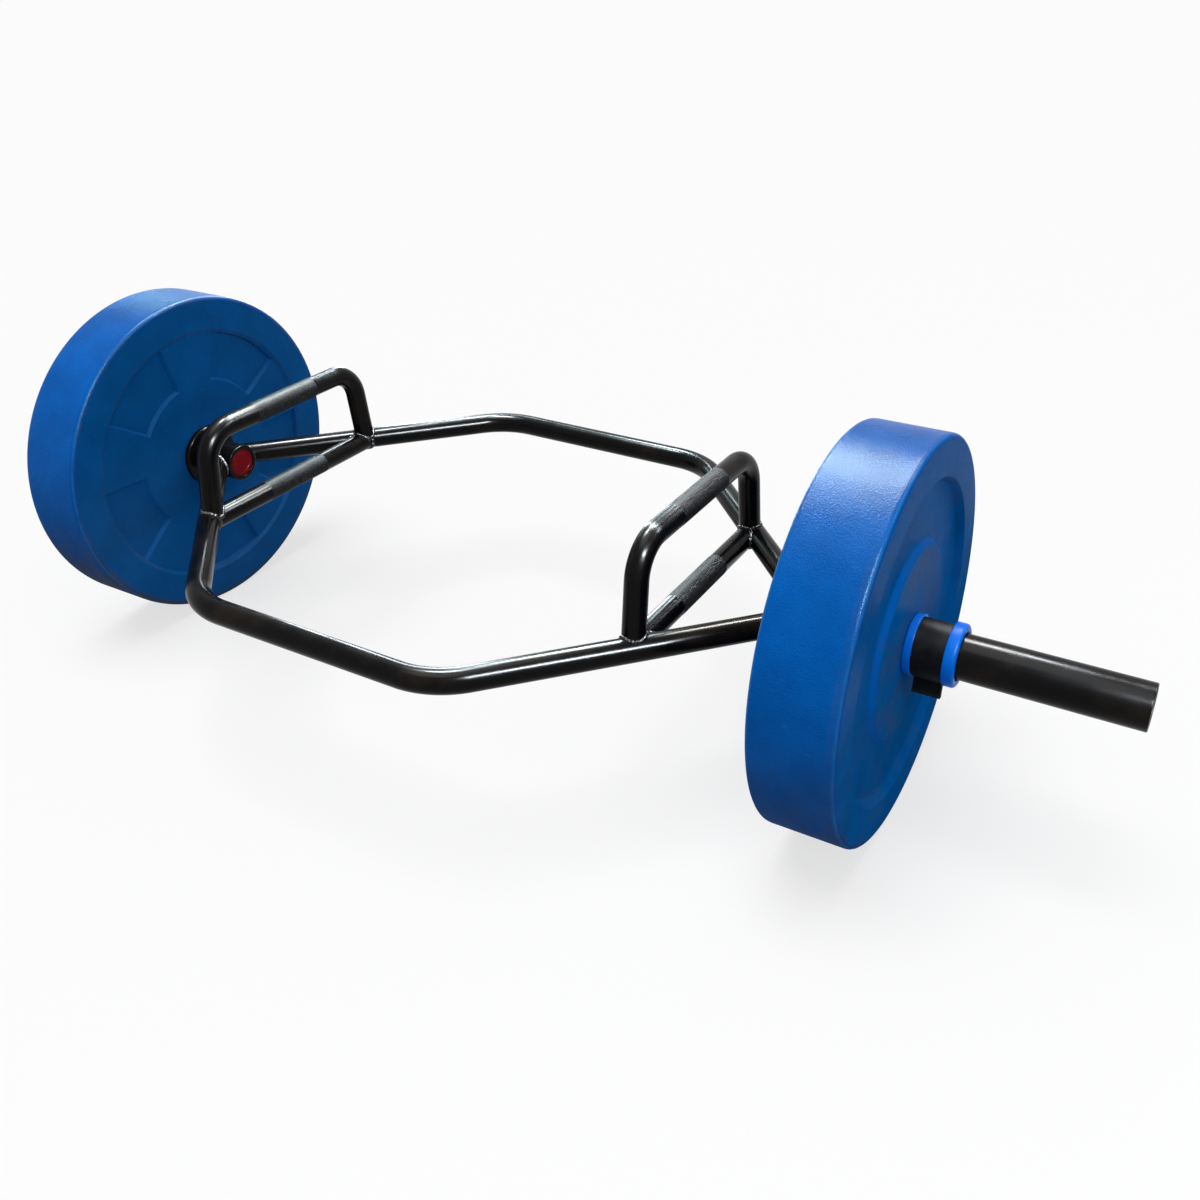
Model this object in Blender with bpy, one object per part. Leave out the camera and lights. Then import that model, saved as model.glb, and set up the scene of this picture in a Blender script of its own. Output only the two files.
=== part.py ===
"""Hexagonal trap bar with Olympic sleeves, loaded with one bumper plate and one locking collar a side.

X runs along the sleeves, Y from front to rear and Z up. The origin is on the floor under the middle.
The right half is modelled, and its pieces are turned half round about Z for the left half.
"""
import math

import bmesh
import bpy
from mathutils import Matrix, Vector

# Clearances
GAP = 0.0003
SEAT_GAP = 0.0004
SEAM_MERGE = 0.00003

# Bumper plate
PLATE_RADIUS = 0.225
PLATE_THICKNESS = 0.093
PLATE_FACE_X = 0.4745
PLATE_EDGE_RADIUS = 0.008
PLATE_SIDES = 60
RIM_BAND_WIDTH = 0.045
RIM_STEP_DRAFT = 0.005
BACK_FACE_DEPTH = 0.004
FRONT_DISC_DEPTH = 0.0025
FRONT_GROOVE_DEPTH = 0.0095
DISC_RADIUS = 0.107
DISC_DRAFT = 0.0065
POCKET_COUNT = 5
POCKET_FACETS = 7
POCKET_DEPTH = 0.005
POCKET_DRAFT = 0.0035
BUSH_WALL = 0.0046
BUSH_BORE_RADIUS = 0.0254
BUSH_CHAMFER = 0.001
BUSH_SIDES = 30

# Sleeve, stop flange and plugs
SLEEVE_RADIUS = 0.025
SLEEVE_WALL = 0.005
SLEEVE_OVERHANG = 0.047
SLEEVE_TIP_X = 0.807
SLEEVE_CHAMFER = 0.0012
SLEEVE_SIDES = 36
FLANGE_RADIUS = 0.043
FLANGE_THICKNESS = 0.008
FLANGE_CHAMFER = 0.0025
PLUG_LENGTH = 0.012
PLUG_DOME = 0.0012
PLUG_SIDES = 24

# Hexagonal frame
RAIL_RADIUS = 0.0143
RAIL_WALL = 0.003
RAIL_CORNER_X = 0.167
RAIL_CORNER_Y = 0.307
JUNCTION_SETBACK = 0.0131
RAIL_BEND_RADIUS = 0.095
TUBE_SIDES = 16
RAIL_BEND_STEPS = 5
RAISED_BEND_STEPS = 6

# Handles
HANDLE_RADIUS = 0.01335
HANDLE_WALL = 0.0026
HANDLE_X = 0.311
RAISED_HEIGHT = 0.113
RAISED_HALF_LENGTH = 0.134
RAISED_BEND_RADIUS = 0.043
LEG_INSET = 0.0076
LEG_FOOT_HEIGHT = 0.006
KNURL_LENGTH = 0.107
KNURL_RAISE = 0.0002
KNURL_RAMP = 0.0006

# Locking collar
COLLAR_LENGTH = 0.055
COLLAR_RADIUS = 0.0335
OUTER_RIM_RADIUS = 0.0346
COLLAR_BORE_RADIUS = 0.0266
COLLAR_WALL = 0.0028
INNER_RIM_WIDTH = 0.009
OUTER_RIM_WIDTH = 0.013
COLLAR_SIDES = 32
RIM_ROUND = 0.0012
LIP_ROUND = 0.0026
LATCH_RADIUS = 0.033
LATCH_THICKNESS = 0.0031
LATCH_PIVOT_ANGLE = math.radians(80)
LATCH_PIVOT_RADIUS = 0.030
LATCH_END_ANGLE = math.radians(256)
LATCH_ARC_STEP = math.radians(8)
KNUCKLE_RADIUS = 0.003
KNUCKLE_START = math.radians(210)
HEEL_ANGLE = math.radians(17)
LATCH_PIN_RADIUS = 0.0015
PIN_INSET = 0.002
WINDOW_HALF_ANGLE = math.radians(19)
WINDOW_ANGLE = math.radians(83)
TAB_WIDTH = 0.031
TAB_LENGTH = 0.021
TAB_THICKNESS = 0.005
TAB_ROOT_ANGLE = math.radians(252)
TAB_DIRECTION = math.radians(262)
TAB_RIDGE = 0.0012
PAD_THICKNESS = 0.001
PAD_ANGLES = {"front": math.radians(160), "bottom": math.radians(270), "rear": math.radians(15)}
PAD_HALF_ANGLE = math.radians(22)
PAD_END_INSET = 0.004
PAD_STEP = math.radians(7)
SHOE_HALF_ANGLE = math.radians(13)

# Sizes that follow from the ones above
AXIS_HEIGHT = PLATE_RADIUS
BUSH_RADIUS = BUSH_BORE_RADIUS + BUSH_WALL
BUSH_LENGTH = PLATE_THICKNESS - BACK_FACE_DEPTH - FRONT_DISC_DEPTH
BUSH_X = PLATE_FACE_X + BACK_FACE_DEPTH
SLEEVE_BORE_RADIUS = SLEEVE_RADIUS - SLEEVE_WALL
FLANGE_X = BUSH_X - SEAT_GAP - FLANGE_THICKNESS
COLLAR_X = BUSH_X + BUSH_LENGTH + SEAT_GAP
RAIL_JUNCTION_X = FLANGE_X - JUNCTION_SETBACK
SLEEVE_INNER_X = RAIL_JUNCTION_X - SLEEVE_OVERHANG
CHANNEL_START = INNER_RIM_WIDTH
COLLAR_FLOOR_RADIUS = COLLAR_BORE_RADIUS + COLLAR_WALL
CHANNEL_END = COLLAR_LENGTH - OUTER_RIM_WIDTH
RAIL_SLOPE = RAIL_CORNER_Y / (RAIL_JUNCTION_X - RAIL_CORNER_X)
RAIL_Y_AT_HANDLE = (RAIL_JUNCTION_X - HANDLE_X) * RAIL_SLOPE
LEG_FOOT_Y = RAIL_Y_AT_HANDLE - LEG_INSET

# Colour, roughness and metallic value of each finish
FINISHES = {
    "black_paint": ((0.012, 0.012, 0.014), 0.18, 0.0),
    "knurled_black": ((0.03, 0.03, 0.033), 0.45, 0.0),
    "blue_rubber": ((0.005, 0.09, 0.42), 0.5, 0.0),
    "zinc_steel": ((0.5, 0.5, 0.5), 0.35, 1.0),
    "red_plastic": ((0.35, 0.01, 0.015), 0.3, 0.0),
    "black_plastic": ((0.01, 0.01, 0.011), 0.35, 0.0),
    "blue_plastic": ((0.004, 0.11, 0.75), 0.35, 0.0),
    "grip_rubber": ((0.02, 0.02, 0.02), 0.8, 0.0),
}


def clear_scene():
    """Remove whatever the file held before."""
    for item in list(bpy.data.objects):
        bpy.data.objects.remove(item, do_unlink=True)


def finish(name):
    """Return the material of a named finish, made on first use."""
    found = bpy.data.materials.get(name)
    if found:
        return found
    colour, roughness, metallic = FINISHES[name]
    made = bpy.data.materials.new(name)
    made.use_nodes = True
    shader = made.node_tree.nodes["Principled BSDF"]
    shader.inputs["Base Color"].default_value = (*colour, 1.0)
    shader.inputs["Roughness"].default_value = roughness
    shader.inputs["Metallic"].default_value = metallic
    return made


def mesh_from(bm, name):
    """Write a bmesh to a new mesh with its faces pointing out."""
    bmesh.ops.recalc_face_normals(bm, faces=bm.faces)
    mesh = bpy.data.meshes.new(name)
    bm.to_mesh(mesh)
    bm.free()
    return mesh


def place(name, mesh, finish_name, location=(0, 0, 0), parent=None):
    """Link a mesh as a named object, shaded smooth, under its parent."""
    if not mesh.materials:
        mesh.materials.append(finish(finish_name))
    mesh.shade_smooth()
    mesh.set_sharp_from_angle(angle=math.radians(35))
    piece = bpy.data.objects.new(name, mesh)
    bpy.context.collection.objects.link(piece)
    piece.location = location
    piece.parent = parent
    return piece


def lathe(name, profile, sides, flats_on_radius=False):
    """Turn a profile of (x, radius) points about X. Points on the axis close into a pole."""
    scale = 1 / math.cos(math.pi / sides) if flats_on_radius else 1
    bm = bmesh.new()
    verts = [bm.verts.new((x, 0, radius * scale)) for x, radius in profile]
    edges = [bm.edges.new(pair) for pair in zip(verts, verts[1:])]
    if profile[0][1] > 0:
        edges.append(bm.edges.new((verts[-1], verts[0])))
    half_step = Matrix.Rotation(math.pi / sides, 3, "X")
    bmesh.ops.rotate(bm, verts=verts, cent=(0, 0, 0), matrix=half_step)
    bmesh.ops.spin(bm, geom=verts + edges, cent=(0, 0, 0), axis=(1, 0, 0), dvec=(0, 0, 0),
                   angle=2 * math.pi, steps=sides, use_duplicate=False)
    bmesh.ops.remove_doubles(bm, verts=bm.verts, dist=1e-6)
    return mesh_from(bm, name)


def arc(centre, radius, start, end, step):
    """Points of an arc in the YZ plane, from start angle to end angle."""
    count = max(2, round(abs(end - start) / step))
    angles = [start + (end - start) * i / count for i in range(count + 1)]
    return [(centre[0] + radius * math.cos(a), centre[1] + radius * math.sin(a)) for a in angles]


def prism(name, outline, x0, x1):
    """Extrude an outline of (y, z) points along X."""
    bm = bmesh.new()
    face = bm.faces.new([bm.verts.new((x0, y, z)) for y, z in outline])
    grown = bmesh.ops.extrude_face_region(bm, geom=[face])
    verts = [item for item in grown["geom"] if isinstance(item, bmesh.types.BMVert)]
    bmesh.ops.translate(bm, verts=verts, vec=(x1 - x0, 0, 0))
    return mesh_from(bm, name)


def rounded_path(corners, bend_radius, steps):
    """Run through the corners with an arc of the bend radius at each inner corner."""
    corners = [Vector(c) for c in corners]
    path = [corners[0]]
    for before, corner, after in zip(corners, corners[1:], corners[2:]):
        back = (before - corner).normalized()
        ahead = (after - corner).normalized()
        half = back.angle(ahead) / 2
        centre = corner + (back + ahead).normalized() * (bend_radius / math.sin(half))
        start = corner + back * (bend_radius / math.tan(half)) - centre
        end = corner + ahead * (bend_radius / math.tan(half)) - centre
        turn = start.angle(end)
        for i in range(steps + 1):
            share = turn * i / steps
            point = start * math.sin(turn - share) + end * math.sin(share)
            path.append(centre + point / math.sin(turn))
    path.append(corners[-1])
    return path


def tube(name, path, radius, sides, swell=None, caps=True):
    """A round bar along a path. swell gives a radius factor for each point."""
    curve = bpy.data.curves.new(name, "CURVE")
    curve.dimensions = "3D"
    curve.bevel_depth = radius
    curve.bevel_resolution = (sides - 4) // 2
    curve.use_fill_caps = caps
    spline = curve.splines.new("POLY")
    spline.points.add(len(path) - 1)
    for i, point in enumerate(path):
        spline.points[i].co = (*point, 1)
        spline.points[i].radius = swell[i] if swell else 1
    holder = bpy.data.objects.new(name, curve)
    bpy.context.collection.objects.link(holder)
    mesh = evaluated(holder, name)
    bpy.data.objects.remove(holder)
    bm = bmesh.new()
    bm.from_mesh(mesh)
    bmesh.ops.remove_doubles(bm, verts=bm.verts, dist=1e-6)
    return mesh_from(bm, name)


def evaluated(item, name):
    """The mesh of an object as its modifiers leave it."""
    bpy.context.view_layer.update()
    graph = bpy.context.evaluated_depsgraph_get()
    mesh = bpy.data.meshes.new_from_object(item.evaluated_get(graph))
    mesh.name = name
    return mesh


def carved(name, mesh, cutters, operation="DIFFERENCE"):
    """Cut each cutter mesh from a mesh, or join it on with the operation UNION."""
    work = bpy.data.objects.new(name, mesh)
    bpy.context.collection.objects.link(work)
    helpers = []
    for cutter in cutters:
        helper = bpy.data.objects.new("cutter", cutter)
        bpy.context.collection.objects.link(helper)
        helper.hide_render = True
        helper.display_type = "WIRE"
        change = work.modifiers.new("cut", "BOOLEAN")
        change.operation = operation
        change.solver = "EXACT"
        change.object = helper
        helpers.append(helper)
    result = evaluated(work, name)
    for item in [work, *helpers]:
        bpy.data.objects.remove(item)
    bm = bmesh.new()
    bm.from_mesh(result)
    bmesh.ops.remove_doubles(bm, verts=bm.verts, dist=SEAM_MERGE)
    bmesh.ops.dissolve_degenerate(bm, edges=bm.edges, dist=SEAM_MERGE)
    loose = [edge for edge in bm.edges if not edge.link_faces]
    bmesh.ops.delete(bm, geom=loose, context="EDGES")
    return mesh_from(bm, name)


def pipe(name, path, radius, wall, swell=None):
    """A hollow tube along a path: an outer and an inner skin, closed by a flat ring at both ends."""
    outer = tube(name, path, radius, TUBE_SIDES, swell, caps=False)
    bm = bmesh.new()
    bm.from_mesh(outer)
    rims = [[vertex.index for vertex in edge.verts] for edge in bm.edges if edge.is_boundary]
    bm.from_mesh(tube(name, path, radius - wall, TUBE_SIDES, caps=False))
    bm.verts.ensure_lookup_table()
    step = len(outer.vertices)
    for a, b in rims:
        bm.faces.new([bm.verts[i] for i in (a, b, b + step, a + step)])
    return mesh_from(bm, name)


def rod(name, radius, x0, x1, sides, y=0.0, z=0.0):
    """A plain round bar along X, used for pins and drilled holes."""
    bm = bmesh.new()
    turn = Matrix.Rotation(math.pi / 2, 4, "Y")
    shift = Matrix.Translation(((x0 + x1) / 2, y, z))
    bmesh.ops.create_cone(bm, cap_ends=True, segments=sides, radius1=radius, radius2=radius,
                          depth=x1 - x0, matrix=shift @ turn)
    return mesh_from(bm, name)


def rail_path(side=-1):
    """Centre line of one bent rail, at the front for side -1 and at the rear for +1."""
    corners = [(-RAIL_JUNCTION_X, 0, 0), (-RAIL_CORNER_X, side * RAIL_CORNER_Y, 0),
               (RAIL_CORNER_X, side * RAIL_CORNER_Y, 0), (RAIL_JUNCTION_X, 0, 0)]
    return rounded_path(corners, RAIL_BEND_RADIUS, RAIL_BEND_STEPS)


def rail_cutters():
    """Both rails, one clearance fatter, to notch what is welded to them."""
    return [tube("cutter", rail_path(side), RAIL_RADIUS + GAP, TUBE_SIDES) for side in (-1, 1)]


def build_rail():
    """One side of the hexagon: a tube with two bends, notched to fit round both sleeves."""
    mesh = pipe("rail", rail_path(), RAIL_RADIUS, RAIL_WALL)
    notch = SLEEVE_RADIUS + GAP
    reach = RAIL_JUNCTION_X + SLEEVE_RADIUS
    ends = [rod("cutter", notch, SLEEVE_INNER_X / 2, reach, SLEEVE_SIDES),
            rod("cutter", notch, -reach, -SLEEVE_INNER_X / 2, SLEEVE_SIDES)]
    return carved("rail", mesh, ends)


def knurled(path):
    """Add the ends of the knurled grip to a path, with the radius factor of each point."""
    half = KNURL_LENGTH / 2
    low = path[len(path) // 2 - 1]
    high = path[len(path) // 2]
    grip = []
    for y in (-half, -half + KNURL_RAMP, half - KNURL_RAMP, half):
        share = (y - low.y) / (high.y - low.y)
        grip.append(low.lerp(high, share))
    whole = path[:len(path) // 2] + grip + path[len(path) // 2:]
    raised = 1 + KNURL_RAISE / HANDLE_RADIUS
    swell = [raised if point in grip[1:3] else 1 for point in whole]
    return whole, swell


def build_raised_handle():
    """The upper grip: a tube bent to a low arch whose splayed legs stand on the rails."""
    lean = (LEG_FOOT_Y - RAISED_HALF_LENGTH) / RAISED_HEIGHT
    foot_y = LEG_FOOT_Y - lean * LEG_FOOT_HEIGHT
    corners = [(HANDLE_X, -foot_y, LEG_FOOT_HEIGHT), (HANDLE_X, -RAISED_HALF_LENGTH, RAISED_HEIGHT),
               (HANDLE_X, RAISED_HALF_LENGTH, RAISED_HEIGHT), (HANDLE_X, foot_y, LEG_FOOT_HEIGHT)]
    path = rounded_path(corners, RAISED_BEND_RADIUS, RAISED_BEND_STEPS)
    whole, swell = knurled(path)
    mesh = pipe("raised_handle", whole, HANDLE_RADIUS, HANDLE_WALL, swell)
    across = tube("cutter", lower_path(), HANDLE_RADIUS + GAP, TUBE_SIDES)
    return carved("raised_handle", mesh, [*rail_cutters(), across])


def lower_path():
    """Centre line of the lower grip, from rail to rail in the plane of the frame."""
    return [Vector((HANDLE_X, side * RAIL_Y_AT_HANDLE, 0)) for side in (-1, 1)]


def build_lower_handle():
    """The lower grip: a straight tube notched to fit between the rails."""
    whole, swell = knurled(lower_path())
    mesh = pipe("lower_handle", whole, HANDLE_RADIUS, HANDLE_WALL, swell)
    return carved("lower_handle", mesh, rail_cutters())


def build_sleeve():
    """The loading sleeve: one tube from the frame's junction to the tip."""
    start, end, chamfer = SLEEVE_INNER_X, SLEEVE_TIP_X, SLEEVE_CHAMFER
    profile = [(start, SLEEVE_BORE_RADIUS), (start, SLEEVE_RADIUS - chamfer), (start + chamfer, SLEEVE_RADIUS),
               (end - chamfer, SLEEVE_RADIUS), (end, SLEEVE_RADIUS - chamfer), (end, SLEEVE_BORE_RADIUS)]
    return lathe("sleeve", profile, SLEEVE_SIDES)


def build_flange():
    """The stop ring that the plate's back rests against."""
    bore = SLEEVE_RADIUS + GAP
    edge = FLANGE_RADIUS - FLANGE_CHAMFER
    profile = [(0, bore), (0, edge), (FLANGE_CHAMFER, FLANGE_RADIUS),
               (FLANGE_THICKNESS - FLANGE_CHAMFER, FLANGE_RADIUS), (FLANGE_THICKNESS, edge), (FLANGE_THICKNESS, bore)]
    return lathe("flange", profile, SLEEVE_SIDES, flats_on_radius=True)


def build_plug():
    """A plug for a tube end, its slightly domed face at x = 0 and its body along +X."""
    radius = SLEEVE_BORE_RADIUS - GAP
    profile = [(0, 0), (PLUG_DOME / 4, radius / 2), (PLUG_DOME, radius), (PLUG_LENGTH, radius), (PLUG_LENGTH, 0)]
    return lathe("plug", profile, PLUG_SIDES)


def build_bush():
    """The steel bush in the plate's centre."""
    bore, outer, length, chamfer = BUSH_BORE_RADIUS, BUSH_RADIUS, BUSH_LENGTH, BUSH_CHAMFER
    profile = [(chamfer, bore), (0, bore + chamfer), (0, outer), (length, outer),
               (length, bore + chamfer), (length - chamfer, bore)]
    return lathe("bush", profile, BUSH_SIDES, flats_on_radius=True)


def plate_profile():
    """The plate's section from its back rim plane at x = 0, as one closed loop."""
    thick, radius, edge = PLATE_THICKNESS, PLATE_RADIUS, PLATE_EDGE_RADIUS
    bore = (BUSH_RADIUS / math.cos(math.pi / BUSH_SIDES)) + GAP
    band = radius - RIM_BAND_WIDTH
    disc = thick - FRONT_DISC_DEPTH
    groove = thick - FRONT_GROOVE_DEPTH
    bend = edge * (1 - math.sqrt(0.5))
    back = [(BACK_FACE_DEPTH, bore), (BACK_FACE_DEPTH, DISC_RADIUS),
            (BACK_FACE_DEPTH, band - RIM_STEP_DRAFT), (0, band)]
    tread = [(0, radius - edge), (bend, radius - bend), (edge, radius),
             (thick - edge, radius), (thick - bend, radius - bend), (thick, radius - edge)]
    front = [(thick, band), (groove, band - DISC_DRAFT), (groove, DISC_RADIUS + DISC_DRAFT),
             (disc, DISC_RADIUS), (disc, bore)]
    return back + tread + front


def build_plate():
    """The rubber plate: rim band, sunk back face with pockets, and a ring groove on the front."""
    mesh = lathe("plate", plate_profile(), PLATE_SIDES, flats_on_radius=True)
    bm = bmesh.new()
    bm.from_mesh(mesh)
    pitch = PLATE_SIDES // POCKET_COUNT
    middle = (DISC_RADIUS + PLATE_RADIUS - RIM_BAND_WIDTH - RIM_STEP_DRAFT) / 2
    ring = [face for face in bm.faces if is_pocket_ring(face, middle)]
    for pocket in range(POCKET_COUNT):
        chosen = [face for face in ring if facet_index(face, pitch) // pitch == pocket
                  and facet_index(face, pitch) % pitch < POCKET_FACETS]
        bmesh.ops.inset_region(bm, faces=chosen, thickness=POCKET_DRAFT, depth=-POCKET_DEPTH,
                               use_even_offset=True, use_boundary=True)
    return mesh_from(bm, "plate")


def is_pocket_ring(face, middle):
    """Whether a face lies on the back face, between the centre disc and the rim."""
    centre = face.calc_center_median()
    return abs(centre.x - BACK_FACE_DEPTH) < 1e-5 and abs(math.hypot(centre.y, centre.z) - middle) < 0.01


def facet_index(face, pitch):
    """Count facets round from the edge of the pocket that is centred at the bottom."""
    centre = face.calc_center_median()
    angle = math.atan2(centre.z, centre.y) + math.pi / 2
    facet = round(angle / (2 * math.pi / PLATE_SIDES)) + POCKET_FACETS // 2
    return facet % PLATE_SIDES


def polar(radius, angle):
    """A point of the collar's section."""
    return radius * math.cos(angle), radius * math.sin(angle)


def sector(name, inner, outer, angle, half, x0, x1):
    """A curved pad or cutter between two radii."""
    outline = arc((0, 0), outer, angle - half, angle + half, PAD_STEP)
    outline += arc((0, 0), inner, angle + half, angle - half, PAD_STEP)
    return prism(name, outline, x0, x1)


def build_collar_body():
    """The collar's ring: two rims with a channel between, windowed under the latch's heel."""
    rim, floor, bore, ease = COLLAR_RADIUS, COLLAR_FLOOR_RADIUS, COLLAR_BORE_RADIUS, RIM_ROUND
    lip, length = OUTER_RIM_RADIUS, COLLAR_LENGTH
    profile = [(0, bore), (0, rim - ease), (ease, rim), (CHANNEL_START - ease, rim), (CHANNEL_START, rim - ease),
               (CHANNEL_START, floor), (CHANNEL_END, floor), (CHANNEL_END, lip - ease), (CHANNEL_END + ease, lip),
               (length - LIP_ROUND, lip), (length, lip - LIP_ROUND), (length, bore)]
    mesh = lathe("collar_body", profile, COLLAR_SIDES, flats_on_radius=True)
    window = sector("cutter", bore - LATCH_THICKNESS, (floor + rim) / 2, WINDOW_ANGLE, WINDOW_HALF_ANGLE,
                    CHANNEL_START, CHANNEL_END)
    y, z = polar(LATCH_PIVOT_RADIUS, LATCH_PIVOT_ANGLE)
    hole = rod("cutter", LATCH_PIN_RADIUS + GAP, PIN_INSET, length + PIN_INSET, 12, y, z)
    return carved("collar_body", mesh, [window, hole])


def latch_outline():
    """The latch's section: a knuckle round its pin, a cam heel and a long curved band."""
    inner = LATCH_RADIUS - LATCH_THICKNESS
    pivot = polar(LATCH_PIVOT_RADIUS, LATCH_PIVOT_ANGLE)
    outline = arc((0, 0), LATCH_RADIUS, LATCH_PIVOT_ANGLE, LATCH_END_ANGLE, LATCH_ARC_STEP)
    outline += arc((0, 0), inner, LATCH_END_ANGLE, LATCH_PIVOT_ANGLE + HEEL_ANGLE, LATCH_ARC_STEP)
    turn_end = LATCH_PIVOT_ANGLE + 2 * math.pi
    outline += arc(pivot, KNUCKLE_RADIUS, KNUCKLE_START, turn_end, math.radians(30))[:-1]
    return outline


def tab_outline():
    """The thumb tab that hangs from the latch's free end, with a grip ridge on its front."""
    along = Vector(polar(1, TAB_DIRECTION))
    across = Vector((along.y, -along.x))
    root = Vector(polar(LATCH_RADIUS - LATCH_THICKNESS * 0.75, TAB_ROOT_ANGLE))
    half = TAB_THICKNESS / 2
    shape = [(0, half), (TAB_LENGTH - 0.0015, half), (TAB_LENGTH, half - 0.0015),
             (TAB_LENGTH, -half - TAB_RIDGE + 0.0005), (TAB_LENGTH - 0.0005, -half - TAB_RIDGE),
             (TAB_LENGTH - 0.0025, -half - TAB_RIDGE), (TAB_LENGTH - 0.0045, -half), (0, -half)]
    points = [root + along * a - across * b for a, b in shape]
    return [(point.x, point.y) for point in points]


def build_latch():
    """The latch with its tab, about its own pin."""
    mesh = prism("latch", latch_outline(), CHANNEL_START + GAP, CHANNEL_END - GAP)
    middle = (CHANNEL_START + CHANNEL_END) / 2
    tab = prism("tab", tab_outline(), middle - TAB_WIDTH / 2, middle + TAB_WIDTH / 2)
    mesh = carved("latch", mesh, [tab], "UNION")
    y, z = polar(LATCH_PIVOT_RADIUS, LATCH_PIVOT_ANGLE)
    hole = rod("cutter", LATCH_PIN_RADIUS + GAP, -PIN_INSET, COLLAR_LENGTH, 12, y, z)
    mesh = carved("latch", mesh, [hole])
    mesh.transform(Matrix.Translation((0, -y, -z)))
    return mesh


def build_shoe():
    """The pressure shoe that the latch's cam heel pushes on to the sleeve."""
    outer = LATCH_PIVOT_RADIUS - KNUCKLE_RADIUS - GAP
    return sector("shoe", SLEEVE_RADIUS + GAP, outer, LATCH_PIVOT_ANGLE, SHOE_HALF_ANGLE,
                  CHANNEL_START + GAP, CHANNEL_END - GAP)


def build_frame(sides):
    """The welded frame: rails, grips, sleeves, stop rings and plugs."""
    rail = build_rail()
    for name, holder in (("rail_front", sides["right"]), ("rail_rear", sides["left"])):
        place(name, rail, "black_paint", parent=holder)
    fixed = {
        "raised_handle": (build_raised_handle(), "black_paint", 0),
        "lower_handle": (build_lower_handle(), "black_paint", 0),
        "sleeve": (build_sleeve(), "black_paint", 0),
        "stop_flange": (build_flange(), "black_paint", FLANGE_X),
        "inner_plug": (build_plug(), "red_plastic", SLEEVE_INNER_X + GAP),
    }
    tip_plug = build_plug()
    tip_plug.transform(Matrix.Rotation(math.pi, 4, "Z"))
    fixed["tip_plug"] = (tip_plug, "black_plastic", SLEEVE_TIP_X - GAP)
    for name, (mesh, finish_name, x) in fixed.items():
        for side, holder in sides.items():
            place(f"{name}_{side}", mesh, finish_name, (x, 0, 0), holder)


def build_loads(sides):
    """The plates on their bushes and the collars that lock them on the sleeves."""
    bush, plate, body = build_bush(), build_plate(), build_collar_body()
    latch, shoe = build_latch(), build_shoe()
    y, z = polar(LATCH_PIVOT_RADIUS, LATCH_PIVOT_ANGLE)
    pin = rod("pin", LATCH_PIN_RADIUS, PIN_INSET + GAP, COLLAR_LENGTH - PIN_INSET, 12)
    pads = {key: sector("pad", SLEEVE_RADIUS + GAP, SLEEVE_RADIUS + GAP + PAD_THICKNESS, angle, PAD_HALF_ANGLE,
                        PAD_END_INSET, COLLAR_LENGTH - PAD_END_INSET) for key, angle in PAD_ANGLES.items()}
    for side, holder in sides.items():
        hub = place(f"plate_bush_{side}", bush, "zinc_steel", (BUSH_X, 0, 0), holder)
        place(f"plate_{side}", plate, "blue_rubber", (PLATE_FACE_X - BUSH_X, 0, 0), hub)
        ring = place(f"collar_body_{side}", body, "blue_plastic", (COLLAR_X - BUSH_X, 0, 0), hub)
        place(f"collar_latch_{side}", latch, "black_plastic", (0, y, z), ring)
        place(f"latch_pin_{side}", pin, "zinc_steel", (0, y, z), ring)
        place(f"cam_shoe_{side}", shoe, "grip_rubber", (0, 0, 0), ring)
        for key, pad in pads.items():
            place(f"grip_pad_{key}_{side}", pad, "grip_rubber", (0, 0, 0), ring)


def main():
    """Build the right half and the same pieces turned half round for the left."""
    clear_scene()
    sides = {}
    for side, turn in (("right", 0.0), ("left", math.pi)):
        holder = bpy.data.objects.new(f"{side}_half", None)
        bpy.context.collection.objects.link(holder)
        holder.location = (0, 0, AXIS_HEIGHT)
        holder.rotation_euler = (0, 0, turn)
        sides[side] = holder
    build_frame(sides)
    build_loads(sides)
    bpy.context.view_layer.update()


main()
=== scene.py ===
"""Dressed model of a hexagonal trap bar that stands on two blue bumper plates.

X runs along the sleeves, Y from front to rear and Z up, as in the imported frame. Every right-hand piece is
modelled in place, and its left-hand twin is the same shape turned half round about Z.
"""

import logging
import math
import random
from collections.abc import Callable, Iterator, Sequence
from contextlib import contextmanager
from dataclasses import dataclass, field
from enum import Enum

import bmesh
import bpy
from mathutils import Matrix, Vector


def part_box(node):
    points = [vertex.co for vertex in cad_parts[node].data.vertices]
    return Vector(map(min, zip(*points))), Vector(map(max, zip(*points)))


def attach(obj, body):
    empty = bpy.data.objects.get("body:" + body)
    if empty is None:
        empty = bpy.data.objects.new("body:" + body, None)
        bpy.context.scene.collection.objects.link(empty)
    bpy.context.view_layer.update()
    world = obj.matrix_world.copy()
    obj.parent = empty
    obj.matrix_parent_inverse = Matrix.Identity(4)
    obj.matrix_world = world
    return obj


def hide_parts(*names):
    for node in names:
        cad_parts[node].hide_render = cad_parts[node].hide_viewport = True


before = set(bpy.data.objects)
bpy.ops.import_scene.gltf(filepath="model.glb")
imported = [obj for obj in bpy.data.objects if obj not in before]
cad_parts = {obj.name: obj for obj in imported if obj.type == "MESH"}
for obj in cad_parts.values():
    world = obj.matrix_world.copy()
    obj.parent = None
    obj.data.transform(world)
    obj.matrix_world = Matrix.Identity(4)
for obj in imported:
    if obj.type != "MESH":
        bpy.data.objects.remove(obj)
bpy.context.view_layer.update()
LOG = logging.getLogger("trap_bar")

Piece = bpy.types.Object
Socket = bpy.types.NodeSocket
Triple = tuple[float, float, float]
Colour = Triple
Span = tuple[float, float]

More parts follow.
